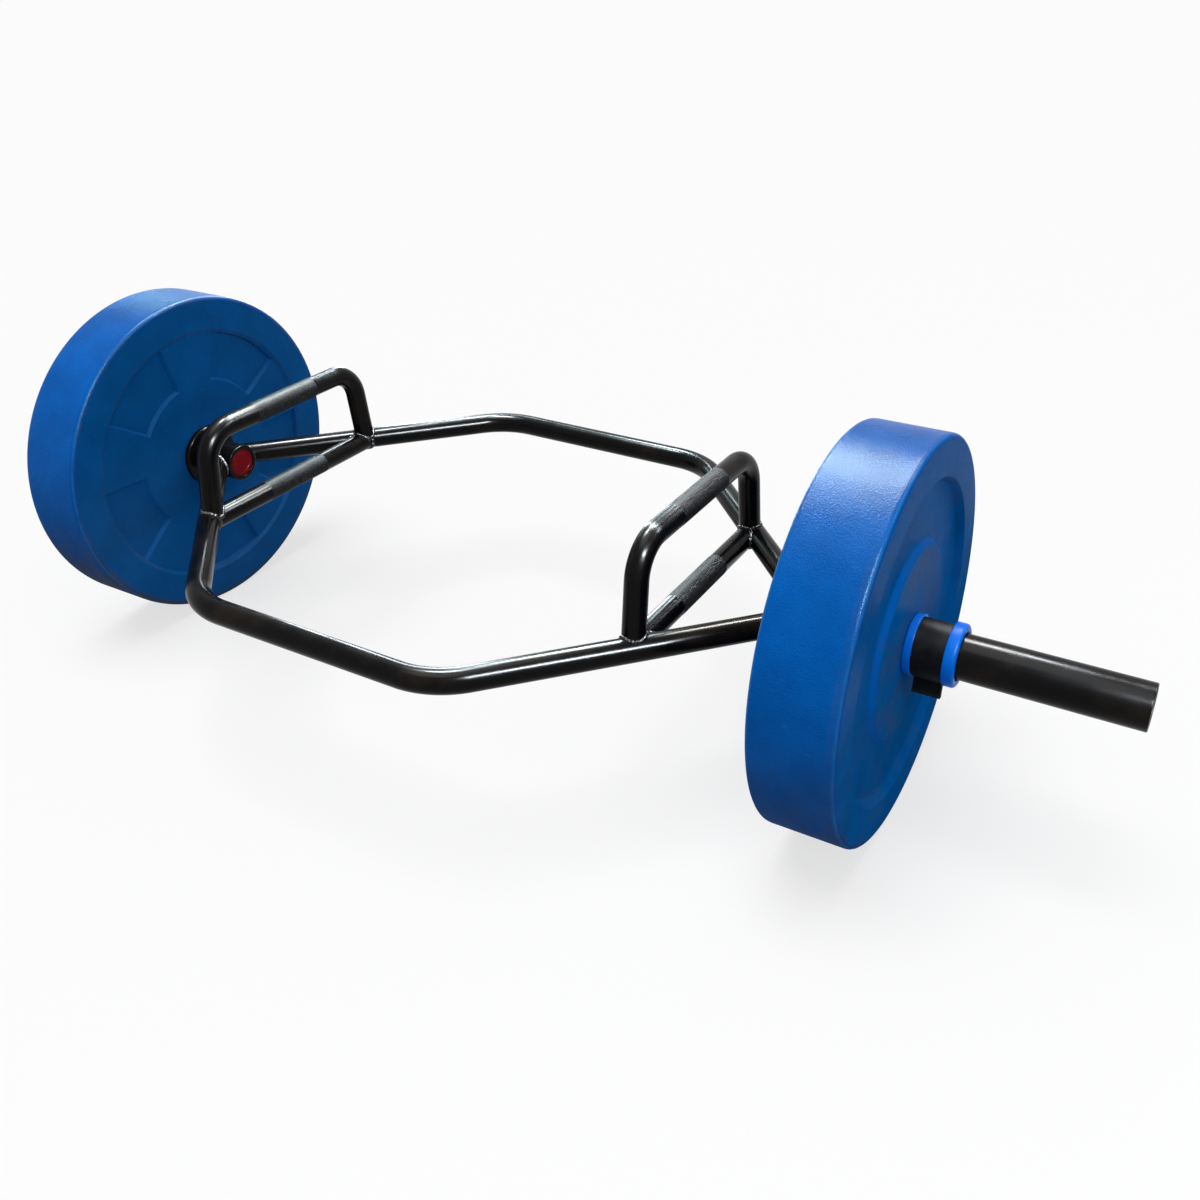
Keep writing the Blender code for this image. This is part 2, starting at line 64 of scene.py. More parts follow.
MM = 0.001
GAP = 0.3 * MM
TURN = 2 * math.pi
SLEEVE_LOW, SLEEVE_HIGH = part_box("sleeve_right")
AXIS_HEIGHT = (SLEEVE_LOW[2] + SLEEVE_HIGH[2]) / 2
PHOTO_SIZE = 1200


def mm(*lengths: float) -> tuple[float, ...]:
    """Millimetres in metres."""
    return tuple(length * MM for length in lengths)


def span(node: str) -> Span:
    """Where a CAD node starts and ends along X."""
    low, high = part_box(node)
    return low[0], high[0]


class Part(Enum):
    """What an edit-mode selection is made of."""

    VERT = "VERT"
    EDGE = "EDGE"
    FACE = "FACE"


class Side(Enum):
    """The two ends of the bar, each with its turn about Z from the right-hand model."""

    RIGHT = 0.0
    LEFT = math.pi

    @property
    def tag(self) -> str:
        """The side's word in the names of pieces and bodies."""
        return self.name.lower()


class Crease(Enum):
    """Angle in degrees past which an edge stays sharp, for each kind of piece."""

    KNURLED = 28.0
    PAD = 35.0
    MOULDED = 40.0
    ROUND = 50.0
    WELD = 60.0


# Modelling with operators


def take(piece: Piece) -> None:
    """Leave one piece selected and active, in object mode.

    Args:
        piece: The object that the next operators act on.
    """
    if bpy.context.mode != "OBJECT":
        bpy.ops.object.mode_set(mode="OBJECT")
    bpy.ops.object.select_all(action="DESELECT")
    piece.select_set(True)
    bpy.context.view_layer.objects.active = piece


@contextmanager
def editing(piece: Piece) -> Iterator[None]:
    """Open a piece in edit mode with nothing selected, and leave edit mode at the end.

    Args:
        piece: The mesh object to edit.

    Returns:
        A context within which the piece is in edit mode.
    """
    take(piece)
    bpy.ops.object.mode_set(mode="EDIT")
    bpy.ops.mesh.select_mode(type="VERT")
    bpy.ops.mesh.select_all(action="DESELECT")
    yield
    bpy.ops.object.mode_set(mode="OBJECT")


def pick(kind: Part, test: Callable[[Vector], bool]) -> None:
    """Select, in edit mode, the elements whose centre passes a test.

    Args:
        kind: Vertices, edges or faces.
        test: Says of a centre whether its element is wanted.
    """
    bpy.ops.mesh.select_mode(type=kind.value)
    bpy.ops.mesh.select_all(action="DESELECT")
    mesh = bpy.context.edit_object.data
    edited = bmesh.from_edit_mesh(mesh)
    if kind is Part.FACE:
        centres = [(item, item.calc_center_median()) for item in edited.faces]
    elif kind is Part.EDGE:
        centres = [(item, (item.verts[0].co + item.verts[1].co) / 2) for item in edited.edges]
    else:
        centres = [(item, item.co) for item in edited.verts]
    for item, centre in centres:
        if test(centre):
            item.select_set(True)
    bmesh.update_edit_mesh(mesh)


def modify(piece: Piece, kind: str, **settings: object) -> None:
    """Add a modifier to a piece, set it and apply it.

    Args:
        piece: The object that the modifier changes.
        kind: The modifier's type, in Blender's word.
        **settings: The modifier's own settings.
    """
    take(piece)
    bpy.ops.object.modifier_add(type=kind)
    change = piece.modifiers[-1]
    for key, value in settings.items():
        setattr(change, key, value)
    bpy.ops.object.modifier_apply(modifier=change.name)


def soften(piece: Piece, width: float, segments: int = 3, angle: float = 30.0) -> None:
    """Round the edges of a piece that are sharper than an angle.

    Args:
        piece: The piece to soften.
        width: The roundings' width.
        segments: Faces across each rounding.
        angle: Edges sharper than this, in degrees, are rounded.
    """
    modify(piece, "BEVEL", width=width, segments=segments, limit_method="ANGLE",
           angle_limit=math.radians(angle), use_clamp_overlap=True)


def cut(piece: Piece, *cutters: Piece) -> None:
    """Cut closed helper pieces out of a piece, and delete the helpers.

    Args:
        piece: The piece that is cut.
        *cutters: The helpers.
    """
    for cutter in cutters:
        modify(piece, "BOOLEAN", operation="DIFFERENCE", solver="EXACT", object=cutter)
        bpy.data.objects.remove(cutter)


def weld_on(piece: Piece, addition: Piece) -> None:
    """Join a closed helper piece to a piece as one skin, and delete the helper."""
    modify(piece, "BOOLEAN", operation="UNION", solver="EXACT", object=addition)
    bpy.data.objects.remove(addition)


def close_skin(piece: Piece) -> None:
    """Merge doubled points, drop what is loose and turn the faces of a mesh outwards.

    Args:
        piece: The closed object to clean.
    """
    with editing(piece):
        bpy.ops.mesh.select_all(action="SELECT")
        bpy.ops.mesh.remove_doubles(threshold=0.002 * MM)
        bpy.ops.mesh.delete_loose(use_verts=True, use_edges=True, use_faces=False)
        bpy.ops.mesh.select_all(action="SELECT")
        bpy.ops.mesh.normals_make_consistent(inside=False)


def finish_shape(piece: Piece, name: str, crease: Crease) -> None:
    """Name a piece, put its place into its mesh and shade it.

    Args:
        piece: The modelled object.
        name: The piece's final name.
        crease: Which of its edges stay sharp.
    """
    take(piece)
    bpy.ops.object.transform_apply(location=True, rotation=True, scale=True)
    piece.name = name
    piece.data.name = name
    bpy.ops.object.shade_smooth_by_angle(angle=math.radians(crease.value))


def even_shading(piece: Piece) -> None:
    """Let the large faces decide the shading, so that flats stay flat beside small roundings."""
    modify(piece, "WEIGHTED_NORMAL", keep_sharp=True, weight=60)


def twin_of(piece: Piece, name: str) -> Piece:
    """Copy a right-hand piece half a turn round about Z.

    Args:
        piece: The finished right-hand piece.
        name: The left-hand piece's name.

    Returns:
        The copy, with its own mesh.
    """
    take(piece)
    bpy.ops.object.duplicate()
    twin = bpy.context.object
    twin.rotation_euler.z = Side.LEFT.value
    bpy.ops.object.transform_apply(location=True, rotation=True, scale=True)
    twin.name = name
    twin.data.name = name
    return twin


def loop_from(outline: Sequence[Vector]) -> Piece:
    """Add a circle with as many points as an outline has, and move them on to the outline.

    Args:
        outline: The outline's points in space, in order.

    Returns:
        The loop, which has no face.
    """
    bpy.ops.mesh.primitive_circle_add(vertices=len(outline), fill_type="NOTHING")
    loop = bpy.context.object
    for vert, point in zip(loop.data.vertices, outline):
        vert.co = point
    return loop


def turned(section: Sequence[Span], segments: int) -> Piece:
    """Spin a closed section about the sleeves' axis.

    Args:
        section: Points of (x, radius), in metres.
        segments: Number of faces round the axis.

    Returns:
        The turned, closed piece.
    """
    piece = loop_from([Vector((x, 0, AXIS_HEIGHT + radius)) for x, radius in section])
    with editing(piece):
        bpy.ops.mesh.select_all(action="SELECT")
        bpy.ops.mesh.spin(steps=segments, angle=TURN, center=(0, 0, AXIS_HEIGHT), axis=(1, 0, 0))
    close_skin(piece)
    return piece


def rounded(corners: Sequence[Span], fillets: Sequence[float], steps: int = 5) -> list[Span]:
    """Round the corners of a closed section.

    Args:
        corners: Corners as (x, radius).
        fillets: Each corner's rounding; 0 keeps the point.
        steps: Faces in each fillet.

    Returns:
        The section's points.
    """
    points: list[Span] = []
    count = len(corners)
    for i, (place, fillet) in enumerate(zip(corners, fillets, strict=True)):
        if fillet <= 0:
            points.append(place)
            continue
        corner = Vector(place)
        back = (Vector(corners[i - 1]) - corner).normalized()
        ahead = (Vector(corners[(i + 1) % count]) - corner).normalized()
        half = back.angle(ahead) / 2
        centre = corner + (back + ahead).normalized() * (fillet / math.sin(half))
        start = corner + back * (fillet / math.tan(half)) - centre
        end = corner + ahead * (fillet / math.tan(half)) - centre
        sweep = start.angle(end)
        for step in range(steps + 1):
            share = sweep * step / steps
            point = centre + (start * math.sin(sweep - share) + end * math.sin(share)) / math.sin(sweep)
            points.append((point.x, point.y))
    return points


def pipe(ends: Span, bore: float, outer: float, fillets: Sequence[float], segments: int,
         steps: int = 5) -> Piece:
    """Turn a plain pipe or ring about the sleeves' axis.

    Args:
        ends: Where it starts and ends along X.
        bore: Its inner radius.
        outer: Its outer radius.
        fillets: Roundings of its edges, from the bore's start round the outside to the bore's end.
        segments: Number of faces round the axis.
        steps: Faces in each fillet.

    Returns:
        The turned, closed piece.
    """
    corners = [(ends[0], bore), (ends[0], outer), (ends[1], outer), (ends[1], bore)]
    return turned(rounded(corners, fillets, steps), segments)


def arc(centre: Vector, radius: float, start: float, end: float, step: float) -> list[Vector]:
    """Points of an arc in a plane across X.

    Args:
        centre: The arc's centre as (y, z).
        radius: The arc's radius.
        start: First angle in radians, from +Y towards +Z.
        end: Last angle in radians.
        step: Largest angle between points.

    Returns:
        Points as (y, z).
    """
    count = max(2, math.ceil(abs(end - start) / step))
    angles = [start + (end - start) * i / count for i in range(count + 1)]
    return [centre + radius * Vector((math.cos(a), math.sin(a))) for a in angles]


def axes_at(place: Vector, right: Vector, up: Vector, back: Vector) -> Matrix:
    """The matrix of something at a place, turned so that its X, Y and Z lie along three directions."""
    return Matrix.Translation(place) @ Matrix((right, up, back)).transposed().to_4x4()


def slab(outline: Sequence[Vector], x0: float, x1: float) -> Piece:
    """Fill an outline of (y, z) points and extrude it along X.

    Args:
        outline: The closed outline.
        x0: Where the slab starts.
        x1: Where it ends.

    Returns:
        The closed slab.
    """
    piece = loop_from([Vector((x0, point.x, point.y)) for point in outline])
    with editing(piece):
        bpy.ops.mesh.select_all(action="SELECT")
        bpy.ops.mesh.edge_face_add()
        bpy.ops.mesh.extrude_region_move(TRANSFORM_OT_translate={"value": (x1 - x0, 0, 0)})
    close_skin(piece)
    return piece


def rod(radius: float, x0: float, x1: float, centre: Vector, sides: int = 32) -> Piece:
    """Add a plain round bar along X, for pins and for drilled holes.

    Args:
        radius: The bar's radius.
        x0: Where it starts.
        x1: Where it ends.
        centre: Its axis as (y, z).
        sides: Faces round it.

    Returns:
        The closed bar.
    """
    middle = ((x0 + x1) / 2, centre.x, centre.y)
    bpy.ops.mesh.primitive_cylinder_add(vertices=sides, radius=radius, depth=x1 - x0, location=middle,
                                        rotation=(0, TURN / 4, 0))
    return bpy.context.object


def bent_tube(corners: Sequence[Vector], radius: float, bend_radius: float, sides: int,
              bend_steps: int = 18) -> Piece:
    """Draw a round bar along straight runs and spin it round each corner.

    Args:
        corners: Corners of the centre line, in one plane.
        radius: The bar's radius.
        bend_radius: Centre line radius of every bend.
        sides: Faces round the bar.
        bend_steps: Faces along each bend.

    Returns:
        The closed bar.
    """
    ahead = (corners[1] - corners[0]).normalized()
    bpy.ops.mesh.primitive_circle_add(vertices=sides, radius=radius, fill_type="NOTHING",
                                      location=corners[0],
                                      rotation=ahead.to_track_quat("Z", "Y").to_euler())
    bar = bpy.context.object
    take(bar)
    bpy.ops.object.transform_apply(location=True, rotation=True, scale=True)
    place = corners[0]
    with editing(bar):
        bpy.ops.mesh.select_all(action="SELECT")
        for corner, after in zip(corners[1:-1], corners[2:]):
            ahead = (corner - place).normalized()
            onward = (after - corner).normalized()
            turn = ahead.angle(onward)
            reach = bend_radius * math.tan(turn / 2)
            start = corner - ahead * reach
            bpy.ops.mesh.extrude_region_move(TRANSFORM_OT_translate={"value": start - place})
            centre = corner + (onward - ahead).normalized() * (bend_radius / math.cos(turn / 2))
            bpy.ops.mesh.spin(steps=bend_steps, angle=-turn, center=centre, axis=ahead.cross(onward))
            place = corner + onward * reach
        bpy.ops.mesh.extrude_region_move(TRANSFORM_OT_translate={"value": corners[-1] - place})
        bpy.ops.mesh.select_all(action="SELECT")
        bpy.ops.mesh.fill_holes(sides=0)
    close_skin(bar)
    return bar


# Finishes


@dataclass(frozen=True)
class Mottle:
    """A cloudy pattern: a noise in waves per metre, and where it starts and is full as the noise rises."""

    scale: float
    detail: float
    roughness: float
    start: float
    full: float


@dataclass(frozen=True)
class Relief:
    """Fine lumps: a noise in waves per metre, and their real height in metres."""

    scale: float
    detail: float
    roughness: float
    depth: float


class Shader:
    """Short calls that build one material's nodes on Object coordinates."""

    def __init__(self, name: str) -> None:
        """Make the material and its texture coordinate.

        Args:
            name: The material's name.
        """
        self.material = bpy.data.materials.new(name)
        self.material.use_nodes = True
        self.tree = self.material.node_tree
        self.surface = self.tree.nodes["Principled BSDF"]
        self.place = self.add("ShaderNodeTexCoord").outputs["Object"]

    def add(self, kind: str, inputs: dict[str | int, object] | None = None,
            **settings: object) -> bpy.types.Node:
        """Add a node.

        Args:
            kind: The node's type.
            inputs: Values or sockets for its inputs.
            **settings: The node's own settings.

        Returns:
            The new node.
        """
        node = self.tree.nodes.new(kind)
        for key, value in settings.items():
            setattr(node, key, value)
        for key, value in (inputs or {}).items():
            self.feed(node.inputs[key], value)
        return node

    def feed(self, socket: Socket, value: object) -> None:
        """Link a socket to an input, or set the input's value.

        Args:
            socket: The input.
            value: A socket to link, or a value.
        """
        if isinstance(value, Socket):
            self.tree.links.new(value, socket)
        else:
            socket.default_value = value

    def noise(self, scale: float, detail: float, roughness: float, stretch: Triple | None = None) -> Socket:
        """Add a noise.

        Args:
            scale: Waves per metre.
            detail: Octaves over the first.
            roughness: How strong the finer octaves are.
            stretch: How many times finer it is along each axis.

        Returns:
            A value from 0 to 1.
        """
        vector = self.place
        if stretch:
            vector = self.add("ShaderNodeMapping", {"Vector": vector, "Scale": stretch}).outputs[0]
        return self.add("ShaderNodeTexNoise", {"Vector": vector, "Scale": scale, "Detail": detail,
                                               "Roughness": roughness}).outputs["Fac"]

    def cells(self, scale: float) -> Socket:
        """Distance to the nearest point of a grain, from 0 at its middle."""
        return self.add("ShaderNodeTexVoronoi", {"Vector": self.place, "Scale": scale}).outputs["Distance"]

    def spread(self, value: object, low: float, high: float, to_low: float = 0.0,
               to_high: float = 1.0) -> Socket:
        """Map a value smoothly from one range to another, clamped.

        Args:
            value: A value or a socket.
            low: Where its range starts.
            high: Where its range ends, which may be the lower end.
            to_low: What the start becomes.
            to_high: What the end becomes.

        Returns:
            The mapped value.
        """
        return self.add("ShaderNodeMapRange",
                        {"Value": value, "From Min": low, "From Max": high, "To Min": to_low,
                         "To Max": to_high}, interpolation_type="SMOOTHSTEP").outputs[0]

    def mottle(self, pattern: Mottle, least: float = 0.0, most: float = 1.0,
               stretch: Triple | None = None) -> Socket:
        """A cloudy pattern that goes from a least value to a most."""
        noise = self.noise(pattern.scale, pattern.detail, pattern.roughness, stretch)
        return self.spread(noise, pattern.start, pattern.full, least, most)

    def math(self, operation: str, first: object, second: object = 0.0) -> Socket:
        """One step of arithmetic."""
        return self.add("ShaderNodeMath", {0: first, 1: second}, operation=operation).outputs[0]

    def times(self, first: object, *others: object) -> Socket:
        """Multiply values.

        Args:
            first: A value or a socket.
            *others: More of them.

        Returns:
            Their product.
        """
        for other in others:
            first = self.math("MULTIPLY", first, other)
        return first

    def blend(self, share: object, first: object, second: object) -> Socket:
        """Mix two colours, each a socket or three linear values, by the colour sockets of a mix node."""
        first, second = ((*item, 1.0) if isinstance(item, tuple) else item for item in (first, second))
        return self.add("ShaderNodeMix", {0: share, 6: first, 7: second}, data_type="RGBA").outputs[2]

    def bump(self, height: object, depth: float, under: Socket | None = None) -> Socket:
        """Turn a height into a normal.

        Args:
            height: A value from 0 to 1.
            depth: The real height of 1, in metres.
            under: The normal that it is laid over.

        Returns:
            The normal.
        """
        node = self.add("ShaderNodeBump", {"Height": height, "Distance": depth, "Strength": 1.0})
        if under:
            self.feed(node.inputs["Normal"], under)
        return node.outputs[0]

    def relief(self, lumps: Relief, under: Socket | None = None) -> Socket:
        """The normal of fine lumps, over another normal if there is one."""
        return self.bump(self.noise(lumps.scale, lumps.detail, lumps.roughness), lumps.depth, under)

    def from_axis(self) -> Socket:
        """Measure from the sleeves' axis.

        Returns:
            The distance of each place from the axis.
        """
        shifted = self.add("ShaderNodeVectorMath", {0: self.place, 1: (0, 0, -AXIS_HEIGHT)}).outputs[0]
        across = self.add("ShaderNodeVectorMath", {0: shifted, 1: (0, 1, 1)}, operation="MULTIPLY").outputs[0]
        return self.add("ShaderNodeVectorMath", {0: across}, operation="LENGTH").outputs["Value"]

    def part_along(self, axis: str) -> Socket:
        """How far along X, Y or Z a place lies, from the bar's middle and the floor."""
        return self.add("ShaderNodeSeparateXYZ", {0: self.place}).outputs[axis]

    def near(self, value: object, middle: float, width: float) -> Socket:
        """1 where a value is at the middle, falling to 0 a width away."""
        away = self.math("ABSOLUTE", self.math("SUBTRACT", value, middle))
        return self.spread(away, 0.0, width, 1.0, 0.0)

    def set(self, **values: object) -> None:
        """Set inputs of the surface.

        Args:
            **values: Values or sockets, with underscores for the spaces in the inputs' names.
        """
        for key, value in values.items():
            if isinstance(value, tuple) and len(value) == 3:
                value = (*value, 1.0)
            self.feed(self.surface.inputs[key.replace("_", " ")], value)


@dataclass(frozen=True)
class GlossCoat:
    """Black powder coat on steel: deep gloss with a slight orange peel, smudges and fine dust."""

    name: str = "gloss_black_coat"
    colour: Colour = (0.0022, 0.0020, 0.0024)
    smudge: Colour = (0.010, 0.007, 0.005)
    dust: Colour = (0.09, 0.085, 0.08)
    dust_share: float = 0.10
    roughness: Span = (0.18, 0.22)
    index: float = 1.16
    smudges: Mottle = Mottle(14, 4, 0.6, 0.46, 0.68)
    specks: Mottle = Mottle(1900, 1, 0.5, 0.70, 0.78)
    sheen: Mottle = Mottle(30, 2, 0.5, 0.35, 0.7)
    peel: Relief = Relief(170, 2, 0.5, 0.003 * MM)

    def material(self) -> bpy.types.Material:
        """Build the finish.

        Returns:
            Its material.
        """
        shader = Shader(self.name)
        colour = shader.blend(shader.mottle(self.smudges), self.colour, self.smudge)
        dust = shader.times(shader.mottle(self.specks), self.dust_share)
        shader.set(Base_Color=shader.blend(dust, colour, self.dust), IOR=self.index,
                   Roughness=shader.mottle(self.sheen, *self.roughness), Normal=shader.relief(self.peel))
        return shader.material


@dataclass(frozen=True)
class KnurlCoat:
    """The knurled stretch: the same coat, worn to a dull dark grey on its points."""

    name: str = "knurled_coat"
    low: Colour = (0.003, 0.003, 0.0035)
    high: Colour = (0.056, 0.057, 0.061)
    roughness: Span = (0.42, 0.54)
    index: float = 1.16
    worn: Mottle = Mottle(620, 2, 0.6, 0.42, 0.66)
    patches: Mottle = Mottle(60, 3, 0.5, 0.3, 0.75)
    patch_share: Span = (0.5, 1.0)
    grit: Relief = Relief(760, 3, 0.7, 0.04 * MM)

    def material(self) -> bpy.types.Material:
        """Build the finish.

        Returns:
            Its material.
        """
        shader = Shader(self.name)
        worn = shader.mottle(self.worn)
        share = shader.times(worn, shader.mottle(self.patches, *self.patch_share))
        shader.set(Base_Color=shader.blend(share, self.low, self.high), IOR=self.index,
                   Roughness=shader.spread(worn, 0.0, 1.0, *self.roughness), Normal=shader.relief(self.grit))
        return shader.material


@dataclass(frozen=True)
class WeldCoat:
    """Coated weld bead: the same black, rippled and glossier."""

    name: str = "coated_weld"
    colour: Colour = (0.006, 0.006, 0.007)
    pit: Colour = (0.02, 0.018, 0.016)
    roughness: Span = (0.16, 0.28)
    index: float = 1.4
    pits: Mottle = Mottle(900, 1, 0.5, 0.62, 0.74)
    sheen: Mottle = Mottle(120, 3, 0.5, 0.3, 0.7)
    lumps: Relief = Relief(420, 3, 0.5, 0.25 * MM)

    def material(self) -> bpy.types.Material:
        """Build the finish.

        Returns:
            Its material.
        """
        shader = Shader(self.name)
        shader.set(Base_Color=shader.blend(shader.mottle(self.pits), self.colour, self.pit), IOR=self.index,
                   Roughness=shader.mottle(self.sheen, *self.roughness), Normal=shader.relief(self.lumps))
        return shader.material


@dataclass(frozen=True)
class BlueRubber:
    """Bumper rubber: deep blue with a fine leathery grain, chalky dust in the recesses, scuffs and painted
    highlights.

    The dusty front face is the same rubber with less shine. A ring is a radius, and the width over which a
    mark fades on either side of it. A pair of depths, radii, heights or ends is where a change starts and
    where it is full.
    """

    name: str = "blue_bumper_rubber"
    index: float = 1.12
    sheen_tint: Colour = (0.6, 0.95, 1.0)
    faces: Span = span("plate_right")
    deep: Colour = (0.0002, 0.084, 0.360)
    bright: Colour = (0.0003, 0.110, 0.460)
    face_deep: Colour = (0.0002, 0.098, 0.340)
    face_bright: Colour = (0.0003, 0.120, 0.430)
    tone: Mottle = Mottle(16, 5, 0.6, 0.3, 0.72)
    tread_radii: Span = mm(214, 222)
    front_depths: Span = mm(12, 9)
    # Painted highlight: a brighter blue painted on the wall round the front disc, about the ring below.
    clean: Colour = (0.0004, 0.145, 0.600)
    disc_wall_ring: Span = mm(110.5, 6)
    dust: Colour = (0.070, 0.086, 0.108)
    disc_radii: Span = mm(108, 100)
    disc_dust: float = 0.50
    groove_ring: Span = mm(172, 9)
    groove_dust: float = 0.36
    front_dust: float = 0.17
    back_depths: Span = mm(12, 7)
    band_ring: Span = mm(178, 5)
    band_dust: float = 0.30
    smears: Mottle = Mottle(17, 5, 0.7, 0.42, 0.60)
    smear_share: Span = (0.02, 1.0)
    specks: Mottle = Mottle(210, 4, 0.7, 0.32, 0.68)
    speck_share: Span = (0.3, 1.0)
    # A greyer, darker colour towards the bottom of the tread, heavier on the left-hand plate, set by the
    # fields below.
    dirt: Colour = (0.060, 0.064, 0.074)
    dirt_heights: Span = mm(235, 60)
    dirt_ends: Span = mm(300, -300)
    dirt_end_share: Span = (0.45, 0.95)
    dirt_patches: Mottle = Mottle(38, 5, 0.65, 0.32, 0.55)
    dirt_patch_share: Span = (0.35, 1.0)
    rubbed: Colour = (0.085, 0.100, 0.115)
    rub_ring: Span = mm(220.5, 3.6)
    rub_depths: Span = mm(9, 5)
    rub_breaks: Mottle = Mottle(34, 5, 0.7, 0.40, 0.66)
    rub_share: float = 0.45
    # Paler blue for the streaks, and for the line on the outer edges, which is partly wear and partly painted
    # highlight.
    scuff: Colour = (0.025, 0.205, 0.580)
    streaks: Mottle = Mottle(70, 4, 0.7, 0.62, 0.72)
    streak_stretch: Triple = (0.35, 1.0, 1.0)
    scratches: Mottle = Mottle(900, 2, 0.5, 0.45, 0.7)
    scuff_share: float = 0.6
    edge_ring: Span = mm(223.2, 1.6)
    edge_breaks: Mottle = Mottle(24, 5, 0.7, 0.30, 0.62)
    edge_share: Span = (0.15, 0.6)
    sheen: Mottle = Mottle(45, 4, 0.5, 0.3, 0.7)
    roughness: Span = (0.27, 0.33)
    dull_heights: Span = mm(330, 130)
    dulling: float = 0.50
    grain_scale: float = 540
    grain_depth: float = 0.24 * MM
    waves: Relief = Relief(110, 3, 0.5, 0.15 * MM)

    def material(self) -> bpy.types.Material:
        """Build the finish.

        Returns:
            Its material.
        """
        shader = Shader(self.name)
        tone = shader.mottle(self.tone)
        radius = shader.from_axis()
        x = shader.math("ABSOLUTE", shader.part_along("X"))
        on_tread = shader.spread(radius, *self.tread_radii)
        colour = shader.blend(on_tread, shader.blend(tone, self.face_deep, self.face_bright),
                              shader.blend(tone, self.deep, self.bright))
        front = shader.spread(x, *(self.faces[1] - depth for depth in self.front_depths))
        # Painted highlight: the wall round the front disc is painted a brighter blue.
        wall_highlight_share = shader.times(shader.near(radius, *self.disc_wall_ring), front)
        # Marks laid over the blue in turn: painted highlight on the disc's wall, dust, a greyer lower tread,
        # the rubbed back edge, and streaks with an edge line that is partly wear and partly painted
        # highlight.
        for share, mark in ((wall_highlight_share, self.clean), (self.dusting(shader, radius, x, front), self.dust),
                            (self.floor_dirt(shader, on_tread), self.dirt),
                            (self.rubbing(shader, radius, x), self.rubbed),
                            (self.scuffing(shader, radius), self.scuff)):
            colour = shader.blend(share, colour, mark)
        rough = shader.math("ADD", shader.mottle(self.sheen, *self.roughness),
                            shader.spread(shader.part_along("Z"), *self.dull_heights, 0.0, self.dulling))
        grain = shader.bump(shader.cells(self.grain_scale), self.grain_depth)
        shader.set(Base_Color=colour, Roughness=rough, IOR=self.index, Specular_Tint=self.sheen_tint,
                   Normal=shader.relief(self.waves, grain))
        return shader.material

    def on_back(self, shader: Shader, x: Socket, depths: Span) -> Socket:
        """1 on what lies close to the plate's back, fading out between two depths from it."""
        return shader.spread(x, *(self.faces[0] + depth for depth in depths))

    def dusting(self, shader: Shader, radius: Socket, x: Socket, front: Socket) -> Socket:
        """How much chalky dust lies at each place.

        Args:
            shader: The material being built.
            radius: Distance from the axis.
            x: Distance from the bar's middle.
            front: 1 on the front face.

        Returns:
            A share from 0 to 1.
        """
        patches = shader.times(shader.mottle(self.smears, *self.smear_share),
                               shader.mottle(self.specks, *self.speck_share))
        disc = shader.times(shader.spread(radius, *self.disc_radii), self.disc_dust)
        groove = shader.times(shader.near(radius, *self.groove_ring), self.groove_dust)
        on_front = shader.math("MAXIMUM", shader.math("MAXIMUM", disc, groove), self.front_dust)
        on_band = shader.times(shader.near(radius, *self.band_ring), self.band_dust)
        shares = shader.math("ADD", shader.times(front, on_front),
                             shader.times(self.on_back(shader, x, self.back_depths), on_band))
        return shader.times(shares, patches)

    def floor_dirt(self, shader: Shader, on_tread: Socket) -> Socket:
        """A greyer, darker colour towards the bottom of the tread, heavier on the left-hand plate.

        Args:
            shader: The material being built.
            on_tread: 1 on the tread.

        Returns:
            A share from 0 to 1.
        """
        low = shader.spread(shader.part_along("Z"), *self.dirt_heights)
        left = shader.spread(shader.part_along("X"), *self.dirt_ends, *self.dirt_end_share)
        patches = shader.mottle(self.dirt_patches, *self.dirt_patch_share)
        return shader.times(low, left, patches, on_tread)

    def rubbing(self, shader: Shader, radius: Socket, x: Socket) -> Socket:
        """Broken pale scuffs where the back edge has rubbed on the floor.

        Args:
            shader: The material being built.
            radius: Distance from the axis.
            x: Distance from the bar's middle.

        Returns:
            A share from 0 to 1.
        """
        rim = shader.near(radius, *self.rub_ring)
        broken = shader.times(shader.mottle(self.rub_breaks), self.rub_share)
        return shader.times(rim, self.on_back(shader, x, self.rub_depths), broken)

    def scuffing(self, shader: Shader, radius: Socket) -> Socket:
        """Paler blue streaks all over, and a pale line on the outer edges that is partly wear and partly
        painted highlight.

        Args:
            shader: The material being built.
            radius: Distance from the axis.

        Returns:
            A share from 0 to 1.
        """
        streaks = shader.mottle(self.streaks, stretch=self.streak_stretch)
        scuffs = shader.times(streaks, shader.mottle(self.scratches), self.scuff_share)
        # Broken pale line on the outer edges: partly wear, partly painted highlight.
        worn = shader.mottle(self.edge_breaks, *self.edge_share)
        return shader.math("MAXIMUM", scuffs, shader.times(shader.near(radius, *self.edge_ring), worn))


@dataclass(frozen=True)
class Moulded:
    """Moulded plastic or rubber of one colour, with a fine texture and a little wear."""

    name: str
    colour: Colour
    worn: Colour
    roughness: Span
    index: float = 1.46
    grain: Relief = Relief(1500, 2, 0.5, 0.01 * MM)
    wear: Mottle = Mottle(55, 5, 0.65, 0.45, 0.78)
    specks: Mottle = Mottle(1300, 1, 0.5, 0.68, 0.76)
    speck_share: float = 0.3
    sheen: Mottle = Mottle(80, 4, 0.5, 0.3, 0.7)

    def material(self) -> bpy.types.Material:
        """Build the finish.

        Returns:
            Its material.
        """
        shader = Shader(self.name)
        specks = shader.mottle(self.specks, 0.0, self.speck_share)
        wear = shader.math("MAXIMUM", shader.mottle(self.wear), specks)
        shader.set(Base_Color=shader.blend(wear, self.colour, self.worn), IOR=self.index,
                   Roughness=shader.mottle(self.sheen, *self.roughness), Normal=shader.relief(self.grain))
        return shader.material


